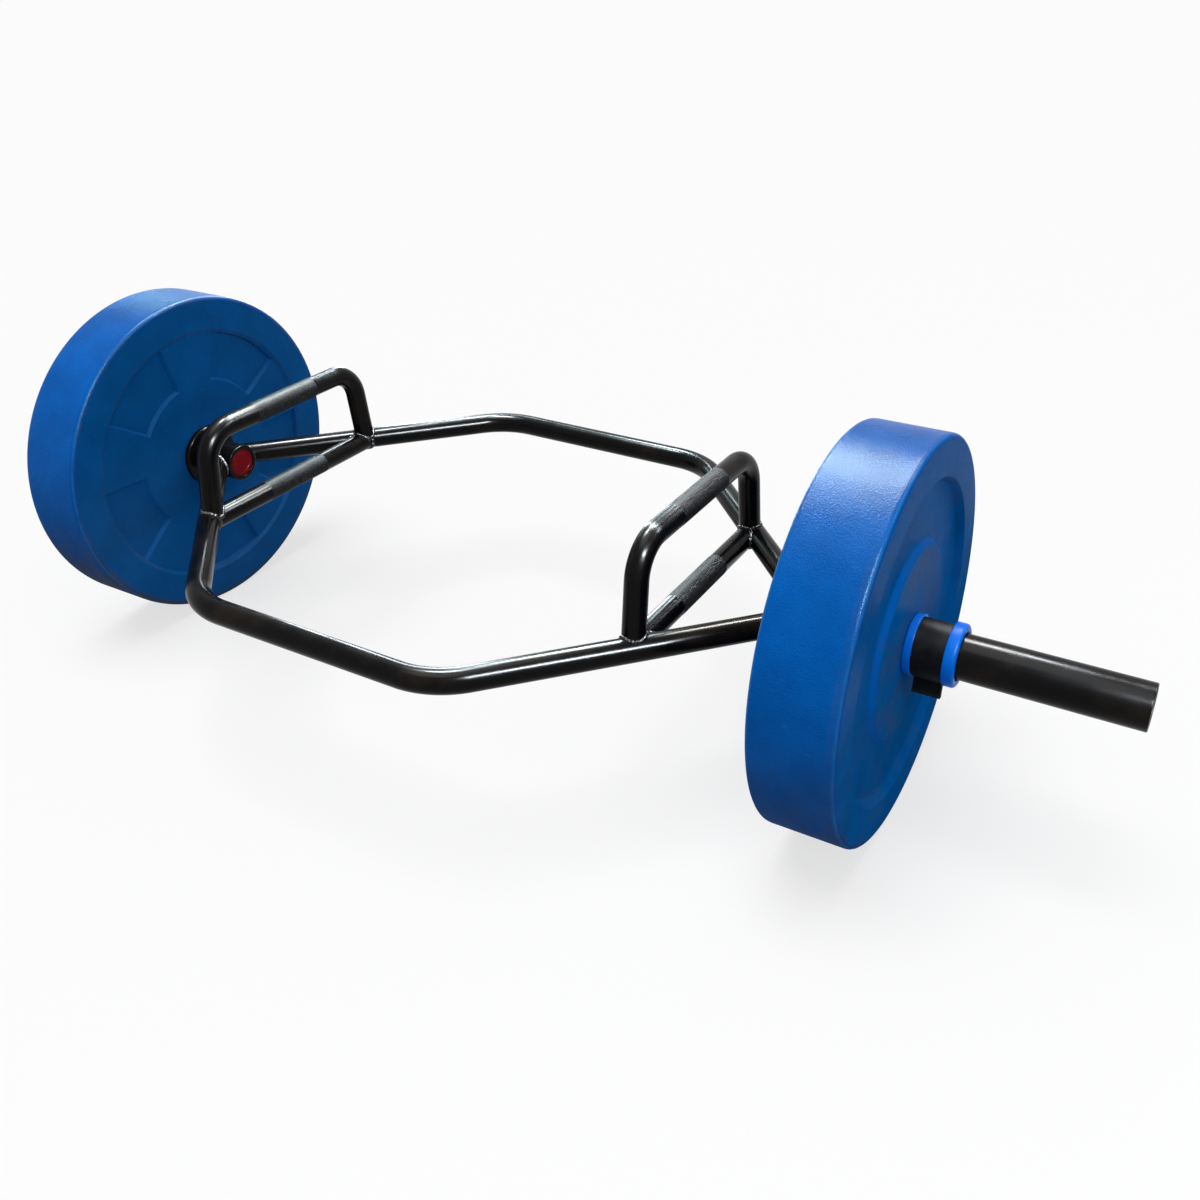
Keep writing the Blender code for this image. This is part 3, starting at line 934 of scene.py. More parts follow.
@dataclass(frozen=True)
class TurnedSteel:
    """Zinc plated steel with fine turning marks round the axis."""

    name: str = "turned_steel"
    colour: Colour = (0.42, 0.42, 0.43)
    stain: Colour = (0.22, 0.21, 0.20)
    stains: Mottle = Mottle(90, 5, 0.6, 0.45, 0.8)
    marks: Mottle = Mottle(240, 2, 0.5, 0.3, 0.7)
    mark_stretch: Triple = (30.0, 1.0, 1.0)
    mark_depth: float = 0.01 * MM
    roughness: Span = (0.28, 0.42)

    def material(self) -> bpy.types.Material:
        """Build the finish.

        Returns:
            Its material.
        """
        shader = Shader(self.name)
        colour = shader.blend(shader.mottle(self.stains), self.colour, self.stain)
        marks = shader.noise(self.marks.scale, self.marks.detail, self.marks.roughness, self.mark_stretch)
        rough = shader.spread(marks, self.marks.start, self.marks.full, *self.roughness)
        shader.set(Base_Color=colour, Roughness=rough, Metallic=1.0,
                   Normal=shader.bump(marks, self.mark_depth))
        return shader.material


class Finish(Enum):
    """Every finish on the bar, made once and shared."""

    COAT = GlossCoat()
    SATIN = GlossCoat("satin_black_coat", roughness=(0.23, 0.28))
    KNURL = KnurlCoat()
    WELD = WeldCoat()
    RUBBER = BlueRubber()
    DUSTY = BlueRubber("dusty_bumper_rubber", index=1.03)
    STEEL = TurnedSteel()
    RED = Moulded("red_plug_plastic", (0.30, 0.004, 0.012), (0.16, 0.004, 0.010), (0.24, 0.36), 1.12)
    PLUG = Moulded("black_plug_plastic", (0.007, 0.007, 0.008), (0.02, 0.02, 0.02), (0.3, 0.5))
    COLLAR = Moulded("blue_collar_plastic", (0.0004, 0.180, 0.860), (0.001, 0.185, 0.800), (0.28, 0.38), 1.12)
    BAND = Moulded("black_band_plastic", (0.003, 0.003, 0.005), (0.007, 0.007, 0.010), (0.34, 0.46), 1.15)
    PAD = Moulded("black_pad_rubber", (0.010, 0.010, 0.010), (0.03, 0.03, 0.03), (0.6, 0.8),
                  grain=Relief(900, 2, 0.5, 0.03 * MM))

    @property
    def material(self) -> bpy.types.Material:
        """The finish's material, made on first use."""
        return bpy.data.materials.get(self.value.name) or self.value.material()


# Pieces


@dataclass(frozen=True)
class Fitting:
    """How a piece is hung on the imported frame."""

    finish: Finish
    body: str
    slot: str
    node: str | None = None


def hang(piece: Piece, fitting: Fitting) -> None:
    """Dress a piece and tie it to its body and the CAD node it stands for.

    Args:
        piece: The finished piece.
        fitting: Its finish and what it is tied to.
    """
    if not piece.data.materials:
        piece.data.materials.append(fitting.finish.material)
    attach(piece, fitting.body)
    if fitting.node:
        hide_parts(fitting.node)
    LOG.info("%s rides on %s, %d faces", piece.name, fitting.body, len(piece.data.polygons))


def hang_pair(piece: Piece, stem: str, finish: Finish, body: str, slot: str, node: str | None) -> None:
    """Hang a right-hand piece and its left-hand twin.

    Args:
        piece: The finished right-hand piece.
        stem: The pieces' name without its side.
        finish: Their finish.
        body: The body's name, with {} where its side goes.
        slot: Not used.
        node: The CAD node's name without its side, or None.
    """
    pieces = {Side.RIGHT: piece, Side.LEFT: twin_of(piece, f"{stem}_left")}
    for side, item in pieces.items():
        replaced = f"{node}_{side.tag}" if node else None
        hang(item, Fitting(finish, body.format(side.tag), slot, replaced))


@dataclass(frozen=True)
class Line:
    """A straight run of round bar, as an obstacle for a weld seam."""

    start: Vector
    end: Vector
    radius: float

    def clearance(self, point: Vector) -> float:
        """How far a point lies outside the bar.

        Args:
            point: The point to measure.

        Returns:
            Its distance from the bar's surface, below 0 inside the bar.
        """
        along = (self.end - self.start).normalized()
        reach = min(max((point - self.start).dot(along), 0.0), (self.end - self.start).length)
        return (point - self.start - along * reach).length - self.radius


@dataclass
class HexFrame:
    """The welded hexagon: two bent rails, the sleeves, their stop rings and plugs.

    Fillets are listed in the order of the corners of the section that they round. Depths are
    measured from the plug's or the cap's outer end.
    """

    rail_radius: float = 14.3 * MM
    corner: Vector = field(default_factory=lambda: Vector((167 * MM, 307 * MM, AXIS_HEIGHT)))
    junction: float = 457 * MM
    bend_radius: float = 95 * MM
    bend_steps: int = 28
    rail_sides: int = 64
    sleeve_radius: float = 25 * MM
    sleeve_wall: float = 5 * MM
    sleeve_fillets: Sequence[float] = mm(0.6, 1.4, 1.6, 0.8)
    segments: int = 128
    flange_radius: float = 43 * MM
    flange_fillets: Sequence[float] = mm(0.4, 3.2, 2.2, 0.4)
    plug_gap: float = 0.5 * MM
    plug_segments: int = 96
    plug_middle_depth: float = 1.2 * MM
    plug_border_depth: float = 1.0 * MM
    plug_ring_depth: float = 0.5 * MM
    plug_ring_radii: Span = mm(14.4, 16.0)
    plug_ring_slope: float = 0.8 * MM
    plug_fillets: Sequence[float] = mm(0, 0.4, 0.4, 0.4, 0.4, 0.7, 0.4, 0)
    cap_border_depth: float = 1.0 * MM
    cap_crown_depth: float = 0.2 * MM
    cap_crown_radius: float = 12 * MM
    cap_fillets: Sequence[float] = mm(0, 0.4, 0.8, 2, 0)

    def rail_corners(self, side: int) -> list[Vector]:
        """Corners of a rail's centre line.

        Args:
            side: -1 for the front rail and 1 for the rear one.

        Returns:
            The corners from the left-hand end to the right.
        """
        x, y, z = self.corner
        return [Vector((-self.junction, 0, z)), Vector((-x, side * y, z)), Vector((x, side * y, z)),
                Vector((self.junction, 0, z))]

    def rail_lines(self) -> list[Line]:
        """The straight run of each rail at the right-hand end, the front rail's first."""
        return [Line(*self.rail_corners(side)[2:], self.rail_radius) for side in (-1, 1)]

    def sleeve_line(self) -> Line:
        """The right-hand sleeve."""
        start, end = (Vector((x, 0, AXIS_HEIGHT)) for x in span("sleeve_right"))
        return Line(start, end, self.sleeve_radius)

    def rail_cutter(self, side: int) -> Piece:
        """A rail one clearance fatter, to notch what is welded to it."""
        return bent_tube(self.rail_corners(side), self.rail_radius + GAP, self.bend_radius, self.rail_sides)

    def build_rails(self) -> None:
        """Model both rails, notched round the sleeves."""
        x0, x1 = span("sleeve_right")
        for name, side in (("rail_front", -1), ("rail_rear", 1)):
            rail = bent_tube(self.rail_corners(side), self.rail_radius, self.bend_radius, self.rail_sides,
                             self.bend_steps)
            for reach in (1, -1):
                near, far = sorted((reach * x0 / 2, reach * x1))
                cut(rail, rod(self.sleeve_radius + GAP, near, far, Vector((0, AXIS_HEIGHT)), self.segments))
            finish_shape(rail, f"{name}_tube", Crease.ROUND)
            hang(rail, Fitting(Finish.COAT, "frame", "frame_paint", name))

    def build_sleeves(self) -> None:
        """Model the sleeves with eased ends."""
        sleeve = pipe(span("sleeve_right"), self.sleeve_radius - self.sleeve_wall, self.sleeve_radius,
                      self.sleeve_fillets, self.segments)
        finish_shape(sleeve, "sleeve_tube_right", Crease.ROUND)
        hang_pair(sleeve, "sleeve_tube", Finish.SATIN, "frame", "frame_paint", "sleeve")

    def build_flanges(self) -> None:
        """Model the stop rings with their rounded rims."""
        ring = pipe(span("stop_flange_right"), self.sleeve_radius + GAP, self.flange_radius,
                    self.flange_fillets, self.segments)
        finish_shape(ring, "stop_ring_right", Crease.ROUND)
        hang_pair(ring, "stop_ring", Finish.COAT, "frame", "frame_paint", "stop_flange")

    def build_plugs(self) -> None:
        """Model the red plug with its bare raised ring and the plain plug in the tip."""
        radius = self.sleeve_radius - self.sleeve_wall - self.plug_gap
        x0, x1 = span("inner_plug_right")
        middle, border = x0 + self.plug_middle_depth, x0 + self.plug_border_depth
        ring, (inner, outer) = x0 + self.plug_ring_depth, self.plug_ring_radii
        corners = [(middle, 0.0), (middle, inner - self.plug_ring_slope), (ring, inner), (ring, outer),
                   (border, outer + self.plug_ring_slope), (border, radius), (x1, radius), (x1, 0.0)]
        plug = turned(rounded(corners, self.plug_fillets), self.plug_segments)
        finish_shape(plug, "red_plug_right", Crease.ROUND)
        hang_pair(plug, "red_plug", Finish.RED, "frame", "inner_plug", "inner_plug")
        x0, x1 = span("tip_plug_right")
        border, crown = x1 - self.cap_border_depth, x1 - self.cap_crown_depth
        corners = [(x0, 0.0), (x0, radius), (border, radius), (crown, self.cap_crown_radius), (crown, 0.0)]
        cap = turned(rounded(corners, self.cap_fillets), self.plug_segments)
        finish_shape(cap, "tip_cap_right", Crease.ROUND)
        hang_pair(cap, "tip_cap", Finish.PLUG, "frame", "tip_plug", "tip_plug")

    def build(self) -> None:
        """Build every piece of the frame but its grips and welds."""
        self.build_rails()
        self.build_sleeves()
        self.build_flanges()
        self.build_plugs()


@dataclass
class Grips:
    """The raised and lower grips, with a knurled stretch in the middle of each.

    The knurl's columns are counted from a share of a step, knurl_turn, so that none is rounded from a half.
    """

    hexagon: HexFrame
    radius: float = 13.35 * MM
    x: float = 311 * MM
    raised_height: float = 113 * MM
    raised_half_length: float = 134 * MM
    bend_radius: float = 43 * MM
    bend_steps: int = 22
    leg_inset: float = 7.6 * MM
    foot_height: float = 6 * MM
    sides: int = 104
    knurl_length: float = 107 * MM
    knurl_cuts: tuple[int, int] = (65, 1)
    knurl_height: float = 0.3 * MM
    knurl_turn: float = 0.25
    end_within: float = 0.05 * MM
    micrometre_digits: int = 6

    @property
    def rail_y(self) -> float:
        """Where a rail's centre line passes the grips."""
        corner, junction = self.hexagon.corner, self.hexagon.junction
        return (junction - self.x) * corner.y / (junction - corner.x)

    @property
    def foot_y(self) -> float:
        """Where a leg's centre line reaches the height of its foot.

        Returns:
            The distance to either side of the grip's middle.
        """
        floor_y = self.rail_y - self.leg_inset
        lean = (floor_y - self.raised_half_length) / self.raised_height
        return floor_y - lean * self.foot_height

    def lower_line(self) -> Line:
        """The lower grip, from rail to rail."""
        start, end = (Vector((self.x, side * self.rail_y, AXIS_HEIGHT)) for side in (-1, 1))
        return Line(start, end, self.radius)

    def lower_bar(self, clearance: float) -> Piece:
        """The lower grip's plain bar, fatter by a clearance where it notches the raised grip's feet."""
        line = self.lower_line()
        return bent_tube([line.start, line.end], self.radius + clearance, self.bend_radius, self.sides)

    def raised_corners(self) -> list[Vector]:
        """Corners of the raised grip's centre line.

        Returns:
            The corners from its front foot to its rear one.
        """
        foot, top = AXIS_HEIGHT + self.foot_height, AXIS_HEIGHT + self.raised_height
        return [Vector((self.x, -self.foot_y, foot)), Vector((self.x, -self.raised_half_length, top)),
                Vector((self.x, self.raised_half_length, top)), Vector((self.x, self.foot_y, foot))]

    def notch(self, grip: Piece) -> None:
        """Notch a grip's ends to the rails."""
        cut(grip, self.hexagon.rail_cutter(-1), self.hexagon.rail_cutter(1))

    def knurl(self, grip: Piece, height: float, coat: Finish) -> None:
        """Cut rings along the middle of a grip and raise every other point into a diamond pattern.

        Args:
            grip: The finished bar of the grip.
            height: Height of the bar's axis above the floor there.
            coat: The finish of the plain stretches.
        """
        half = self.knurl_length / 2
        pitch = self.knurl_length / math.prod(count + 1 for count in self.knurl_cuts)
        step = TURN / self.sides
        under = height - 2 * self.radius
        with editing(grip):
            for y in (-half, half):
                bpy.ops.mesh.select_all(action="SELECT")
                bpy.ops.mesh.bisect(plane_co=(0, y, 0), plane_no=(0, 1, 0))
            for count in self.knurl_cuts:
                pick(Part.EDGE, self.lengthwise_edge(half))
                bpy.ops.mesh.subdivide(number_cuts=count)

            def point_of_diamond(place: Vector) -> bool:
                """Whether a point is the tip of a diamond.

                Args:
                    place: The point.

                Returns:
                    True for every other point of the knurled stretch, in rings and round the bar.
                """
                if abs(place.y) > half - pitch / 2 or place.z < under:
                    return False
                ring = round((place.y + half) / pitch)
                column = round(math.atan2(place.z - height, place.x - self.x) / step - self.knurl_turn)
                return (ring + column) % 2 == 0

            pick(Part.VERT, point_of_diamond)
            bpy.ops.transform.shrink_fatten(value=self.knurl_height)
            pick(Part.FACE, lambda place: abs(place.y) < half - self.end_within and place.z > under)
            grip.data.materials.append(coat.material)
            grip.data.materials.append(Finish.KNURL.material)
            grip.active_material_index = 1
            bpy.ops.object.material_slot_assign()

    def lengthwise_edge(self, half: float) -> Callable[[Vector], bool]:
        """Make a test for the edges that run along the knurled stretch of the bar in edit mode.

        Args:
            half: Half the stretch's length.

        Returns:
            The test, which says of an edge's centre whether the edge runs along the stretch.
        """
        def key(place: Vector) -> tuple[float, ...]:
            """A place to the nearest micrometre."""
            return tuple(round(value, self.micrometre_digits) for value in place)

        lengthwise = set()
        for edge in bmesh.from_edit_mesh(bpy.context.edit_object.data).edges:
            start, end = (vert.co for vert in edge.verts)
            runs_along = abs(start.y - end.y) > 2 * self.end_within
            if runs_along and max(abs(start.y), abs(end.y)) < half + self.end_within:
                lengthwise.add(key((start + end) / 2))
        return lambda place: key(place) in lengthwise

    def build(self) -> None:
        """Build the four grips."""
        raised = bent_tube(self.raised_corners(), self.radius, self.bend_radius, self.sides, self.bend_steps)
        self.notch(raised)
        cut(raised, self.lower_bar(GAP))
        self.knurl(raised, AXIS_HEIGHT + self.raised_height, Finish.SATIN)
        finish_shape(raised, "raised_grip_right", Crease.KNURLED)
        hang_pair(raised, "raised_grip", Finish.SATIN, "frame", "grip_paint", "raised_handle")
        lower = self.lower_bar(0.0)
        self.notch(lower)
        self.knurl(lower, AXIS_HEIGHT, Finish.COAT)
        finish_shape(lower, "lower_grip_right", Crease.KNURLED)
        hang_pair(lower, "lower_grip", Finish.COAT, "frame", "grip_paint", "lower_handle")


@dataclass
class Welds:
    """The rippled beads where tubes meet, coated with the frame."""

    hexagon: HexFrame
    grips: Grips
    bead_radius: float = 3.1 * MM
    bead_height: float = 0.8
    bead_width: float = 1.1
    ripple_length: float = 4.2 * MM
    ripple_share: float = 0.38
    ripple_power: float = 0.6
    unevenness: float = 0.05
    points_along: int = 132
    points_round: int = 10
    halvings: int = 24
    seed: int = 7

    def seam(self, tube: Line, obstacles: Sequence[Line]) -> list[tuple[Vector, Vector]]:
        """Find where a tube's surface enters the tubes it is welded to.

        Args:
            tube: The tube, whose start lies inside an obstacle and whose end lies clear of all.
            obstacles: The tubes it runs into.

        Returns:
            Points round the tube, each with its direction out of the tube.
        """
        along = (tube.end - tube.start).normalized()
        first = along.orthogonal().normalized()
        second = along.cross(first)
        points = []
        for i in range(self.points_along):
            angle = TURN * i / self.points_along
            out = first * math.cos(angle) + second * math.sin(angle)
            inside, clear = 0.0, (tube.end - tube.start).length
            for _ in range(self.halvings):
                middle = (inside + clear) / 2
                place = tube.start + along * middle + out * tube.radius
                if min(obstacle.clearance(place) for obstacle in obstacles) > 0:
                    clear = middle
                else:
                    inside = middle
            points.append((tube.start + along * clear + out * tube.radius, out))
        return points

    def bead(self, name: str, seam: Sequence[tuple[Vector, Vector]]) -> None:
        """Wrap a ring round a seam, swelling and thinning like a row of overlapping puddles.

        Args:
            name: The bead's name without its side.
            seam: Points along the seam with their directions outwards.
        """
        count = len(seam)
        bpy.ops.mesh.primitive_torus_add(major_segments=count, minor_segments=self.points_round)
        bead = bpy.context.object
        chance = random.Random(self.seed)
        length = sum((seam[i][0] - seam[i - 1][0]).length for i in range(count))
        waves = round(length / self.ripple_length)
        for i, (place, out) in enumerate(seam):
            ahead = (seam[(i + 1) % count][0] - seam[i - 1][0]).normalized()
            side = ahead.cross(out).normalized()
            swell = abs(math.sin(math.pi * waves * i / count)) ** self.ripple_power
            uneven = chance.uniform(-self.unevenness, self.unevenness)
            size = self.bead_radius * (1 - self.ripple_share + self.ripple_share * swell + uneven)
            for j in range(self.points_round):
                angle = TURN * j / self.points_round
                offset = (out * math.cos(angle) * size * self.bead_height
                          + side * math.sin(angle) * size * self.bead_width)
                bead.data.vertices[i * self.points_round + j].co = place + offset
        close_skin(bead)
        finish_shape(bead, f"{name}_right", Crease.WELD)
        hang_pair(bead, name, Finish.WELD, "frame", "frame_paint", None)

    def build(self) -> None:
        """Build the beads at the feet of the grips, the lower grips' ends and the sleeves."""
        rails = self.hexagon.rail_lines()
        lower = self.grips.lower_line()
        corners = self.grips.raised_corners()
        for tag, foot, top in (("front", corners[0], corners[1]), ("rear", corners[3], corners[2])):
            leg = Line(foot, top, self.grips.radius)
            self.bead(f"foot_weld_{tag}", self.seam(leg, [*rails, lower]))
        middle = (lower.start + lower.end) / 2
        for tag, end in (("front", lower.start), ("rear", lower.end)):
            self.bead(f"lower_weld_{tag}", self.seam(Line(end, middle, lower.radius), rails))
        for tag, rail in zip(("front", "rear"), rails):
            seam = self.seam(Line(rail.end, rail.start, rail.radius), [self.hexagon.sleeve_line()])
            self.bead(f"sleeve_weld_{tag}", seam)


@dataclass
class BumperPlate:
    """The rubber plate: rounded rim, sunk back with five pockets, grooved front, and its steel bush.

    Fillets are listed in the order of the corners of the section that they round.
    """

    tread_radius: float = 225 * MM
    band_radius: float = 180 * MM
    back_depth: float = 4 * MM
    step_draft: float = 5 * MM
    disc_radius: float = 107 * MM
    disc_depth: float = 2.5 * MM
    groove_depth: float = 9.5 * MM
    disc_draft: float = 6.5 * MM
    bore: float = 30.6 * MM
    fillets: Sequence[float] = mm(0.4, 0, 1.2, 1.6, 6.2, 6.2, 2.4, 2.6, 2.6, 2.2, 0.4)
    segments: int = 240
    pockets: int = 5
    pocket_span: float = math.radians(42)
    pocket_depth: float = 5 * MM
    pocket_draft: float = 3.5 * MM
    pocket_edge: float = 1.8 * MM
    pocket_edge_angle: float = 32.0
    flat_within: float = 0.2 * MM
    face_radius: float = 223.14 * MM
    face_margin: float = 1 * MM
    bush_bore: float = 25.4 * MM
    bush_fillets: Sequence[float] = mm(1, 0.3, 0.3, 1)
    bush_fillet_steps: int = 4
    bush_segments: int = 96

    def section(self, back: float, front: float) -> list[Span]:
        """Draw the plate's section.

        Args:
            back: Where the rim's back plane lies along X.
            front: Where its front plane lies.

        Returns:
            Points of (x, radius), from the bore's back end round the tread to its front end.
        """
        web, disc, floor = back + self.back_depth, front - self.disc_depth, front - self.groove_depth
        corners = [(web, self.bore), (web, self.disc_radius), (web, self.band_radius - self.step_draft),
                   (back, self.band_radius), (back, self.tread_radius), (front, self.tread_radius),
                   (front, self.band_radius), (floor, self.band_radius - self.disc_draft),
                   (floor, self.disc_radius + self.disc_draft), (disc, self.disc_radius), (disc, self.bore)]
        return rounded(corners, self.fillets)

    def in_pocket(self, place: Vector, web: float) -> bool:
        """Whether a face of the back lies in one of the pockets.

        Args:
            place: The face's centre.
            web: Where the web's back plane lies along X.

        Returns:
            True in a pocket.
        """
        across = Vector((place.y, place.z - AXIS_HEIGHT))
        on_web = abs(place.x - web) <= self.flat_within
        if not on_web or not self.disc_radius < across.length < self.band_radius - self.step_draft:
            return False
        share = TURN / self.pockets
        angle = (math.atan2(across.y, across.x) + TURN / 4 + share / 2) % share - share / 2
        return abs(angle) < self.pocket_span / 2

    def dust_front(self, plate: Piece, front: float) -> None:
        """Give the plate its two finishes, the dusty one on its front face.

        Args:
            plate: The finished plate.
            front: Where its front plane lies along X.
        """
        plate.data.materials.append(Finish.RUBBER.material)
        plate.data.materials.append(Finish.DUSTY.material)
        behind = front - self.groove_depth - self.face_margin
        with editing(plate):
            pick(Part.FACE, lambda place: place.x > behind
                 and math.hypot(place.y, place.z - AXIS_HEIGHT) < self.face_radius)
            plate.active_material_index = 1
            bpy.ops.object.material_slot_assign()

    def build_rubber(self) -> None:
        """Model the rubber plates."""
        back, front = span("plate_right")
        plate = turned(self.section(back, front), self.segments)
        with editing(plate):
            pick(Part.FACE, lambda place: self.in_pocket(place, back + self.back_depth))
            bpy.ops.mesh.inset(thickness=self.pocket_draft, depth=-self.pocket_depth, use_boundary=True,
                               use_even_offset=True)
        soften(plate, self.pocket_edge, angle=self.pocket_edge_angle)
        finish_shape(plate, "rubber_plate_right", Crease.ROUND)
        even_shading(plate)
        self.dust_front(plate, front)
        hang_pair(plate, "rubber_plate", Finish.RUBBER, "plate_{}", "plate_rubber", "plate")

    def build_bush(self) -> None:
        """Model the steel bushes in the plates' bores."""
        bush = pipe(span("plate_bush_right"), self.bush_bore, self.bore - 2 * GAP, self.bush_fillets,
                    self.bush_segments, self.bush_fillet_steps)
        finish_shape(bush, "steel_bush_right", Crease.ROUND)
        hang_pair(bush, "steel_bush", Finish.STEEL, "bush_{}", "bush_steel", "plate_bush")

    def build(self) -> None:
        """Build both plates and their bushes."""
        self.build_rubber()
        self.build_bush()


@dataclass
class Collar:
    """The locking collar: blue ring, black lever band with its thumb tab, pin, shoe and pads.

    Angles turn from the rear (+Y) upwards. Fillets are listed in the order of the section's corners.
    """

    length: float = 55 * MM
    radius: float = 33.5 * MM
    outer_radius: float = 34.6 * MM
    bore: float = 26.6 * MM
    floor: float = 29.4 * MM
    ring_fillets: Sequence[float] = mm(0.6, 1.6, 1.0, 0.4, 0.4, 1.4, 3.6, 1.0)
    segments: int = 144
    band_start: float = 9 * MM
    band_end: float = 42 * MM
    band_radius: float = 33 * MM
    band_thickness: float = 3.1 * MM
    band_ease: float = 0.35 * MM
    pivot_radius: float = 30 * MM
    pivot_angle: float = math.radians(80)
    band_end_angle: float = math.radians(256)
    knuckle: float = 3 * MM
    knuckle_start: float = math.radians(210)
    knuckle_step: float = math.radians(12)
    heel_angle: float = math.radians(17)
    pin_radius: float = 1.5 * MM
    pin_inset: float = 2 * MM
    pin_ease: float = 0.3 * MM
    window_angle: float = math.radians(83)
    window_half: float = math.radians(19)
    window_inset: float = 0.1 * MM
    window_rim: float = 0.01 * MM
    tab_width: float = 31 * MM
    tab_length: float = 21 * MM
    tab_thickness: float = 5 * MM
    tab_tip: float = 1.5 * MM
    tab_tip_corner: float = 0.4 * MM
    tab_ease: float = 0.9 * MM
    tab_edge_angle: float = 40.0
    ridge_height: float = 1.2 * MM
    ridge_corner: float = 0.8 * MM
    ridge_top: float = 2.2 * MM
    ridge_foot: float = 4.4 * MM
    tab_root: float = math.radians(252)
    tab_root_depth: float = 0.75
    tab_lean: float = math.radians(262)
    shoe_half: float = math.radians(13)
    shoe_inset: float = 0.7 * MM
    pad_half: float = math.radians(22)
    pad_thickness: float = 1 * MM
    pad_inset: float = 4 * MM
    pad_bore: float = 25 * MM + GAP
    pad_ease: float = 0.25 * MM
    pad_angles: dict[str, float] = field(default_factory=lambda: {
        "front": math.radians(160), "bottom": math.radians(270), "rear": math.radians(15)})
    edge_angle: float = 50.0
    fine: float = math.radians(2.5)

    def __post_init__(self) -> None:
        """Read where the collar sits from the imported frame."""
        self.x = span("collar_body_right")[0]
        self.centre = Vector((0.0, AXIS_HEIGHT))
        self.pivot = self.at(self.pivot_radius, self.pivot_angle)

    def at(self, radius: float, angle: float) -> Vector:
        """A place as (y, z), from its radius and angle about the sleeve's axis."""
        return self.centre + radius * Vector((math.cos(angle), math.sin(angle)))

    def sector(self, radii: Span, angle: float, half: float, x0: float, x1: float) -> Piece:
        """Make a curved slab between two radii.

        Args:
            radii: Its inner and outer radius.
            angle: The angle of its middle.
            half: Half the angle that it spans.
            x0: Where it starts along the collar.
            x1: Where it ends.

        Returns:
            The closed slab.
        """
        outline = arc(self.centre, radii[1], angle - half, angle + half, self.fine)
        outline += arc(self.centre, radii[0], angle + half, angle - half, self.fine)
        return slab(outline, self.x + x0, self.x + x1)

    def build_ring(self) -> None:
        """Model the blue ring with its channel, its window and the pin's holes."""
        x, end = self.x, self.x + self.length
        channel, rim = x + self.band_start, x + self.band_end
        corners = [(x, self.bore), (x, self.radius), (channel, self.radius), (channel, self.floor),
                   (rim, self.floor), (rim, self.outer_radius), (end, self.outer_radius), (end, self.bore)]
        ring = turned(rounded(corners, self.ring_fillets), self.segments)
        window = self.sector((self.bore - self.band_thickness, self.radius - self.window_rim),
                             self.window_angle, self.window_half, self.band_start + self.window_inset,
                             self.band_end - self.window_inset)
        hole = rod(self.pin_radius + GAP, x + self.pin_inset, end + self.pin_inset, self.pivot)
        cut(ring, window, hole)
        finish_shape(ring, "collar_ring_right", Crease.MOULDED)
        hang_pair(ring, "collar_ring", Finish.COLLAR, "collar_{}", "collar_plastic", "collar_body")

    def band_outline(self) -> list[Vector]:
        """Draw the section of the lever band with its knuckle.

        Returns:
            Points as (y, z).
        """
        inner = self.band_radius - self.band_thickness
        outline = arc(self.centre, self.band_radius, self.pivot_angle, self.band_end_angle, self.fine)
        outline += arc(self.centre, inner, self.band_end_angle, self.pivot_angle + self.heel_angle, self.fine)
        knuckle = arc(self.pivot, self.knuckle, self.knuckle_start, self.pivot_angle + TURN,
                      self.knuckle_step)
        return outline + knuckle[:-1]

    def tab_outline(self) -> list[Vector]:
        """Draw the section of the thumb tab, with the ridge that a thumb pulls on.

        Returns:
            Points as (y, z).
        """
        along = Vector((math.cos(self.tab_lean), math.sin(self.tab_lean)))
        across = Vector((along.y, -along.x))
        root = self.at(self.band_radius - self.band_thickness * self.tab_root_depth, self.tab_root)
        length, outer = self.tab_length, self.tab_thickness / 2
        inner, ridge = -outer, -outer - self.ridge_height
        shape = [(0.0, outer), (length - self.tab_tip, outer),
                 (length - self.tab_tip_corner, outer - self.tab_tip_corner), (length, outer - self.tab_tip),
                 (length, ridge + self.ridge_corner), (length - self.ridge_corner, ridge),
                 (length - self.ridge_top, ridge), (length - self.ridge_foot, inner), (0.0, inner)]
        return [root + along * a - across * b for a, b in shape]

    def build_lever(self) -> None:
        """Model the lever band with its tab."""
        band = slab(self.band_outline(), self.x + self.band_start + GAP, self.x + self.band_end - GAP)
        middle = self.x + (self.band_start + self.band_end) / 2
        tab = slab(self.tab_outline(), middle - self.tab_width / 2, middle + self.tab_width / 2)
        soften(tab, self.tab_ease, angle=self.tab_edge_angle)
        weld_on(band, tab)
        cut(band, rod(self.pin_radius + GAP, self.x - self.pin_inset, self.x + self.length, self.pivot))
        soften(band, self.band_ease, 2, self.edge_angle)
        finish_shape(band, "lever_band_right", Crease.MOULDED)
        even_shading(band)
        hang_pair(band, "lever_band", Finish.BAND, "latch_{}", "latch_plastic", "collar_latch")

    def build_pin(self) -> None:
        """Model the pin that the lever turns on."""
        pin = rod(self.pin_radius, self.x + self.pin_inset + GAP, self.x + self.length - self.pin_inset,
                  self.pivot)
        soften(pin, self.pin_ease, 2)
        finish_shape(pin, "hinge_pin_right", Crease.MOULDED)
        hang_pair(pin, "hinge_pin", Finish.STEEL, "collar_{}", "pin_steel", "latch_pin")

    def hang_rubber(self, rubber: Piece, stem: str, slot: str, node: str) -> None:
        """Ease a rubber's edges and hang it in both collars.

        Args:
            rubber: The slab in the right collar.
            stem: Its name without the side.
            slot: A name handed on to hang_pair.
            node: The CAD node that it stands for, without the side.
        """
        soften(rubber, self.pad_ease, 2, self.edge_angle)
        finish_shape(rubber, f"{stem}_right", Crease.PAD)
        hang_pair(rubber, stem, Finish.PAD, "collar_{}", slot, node)

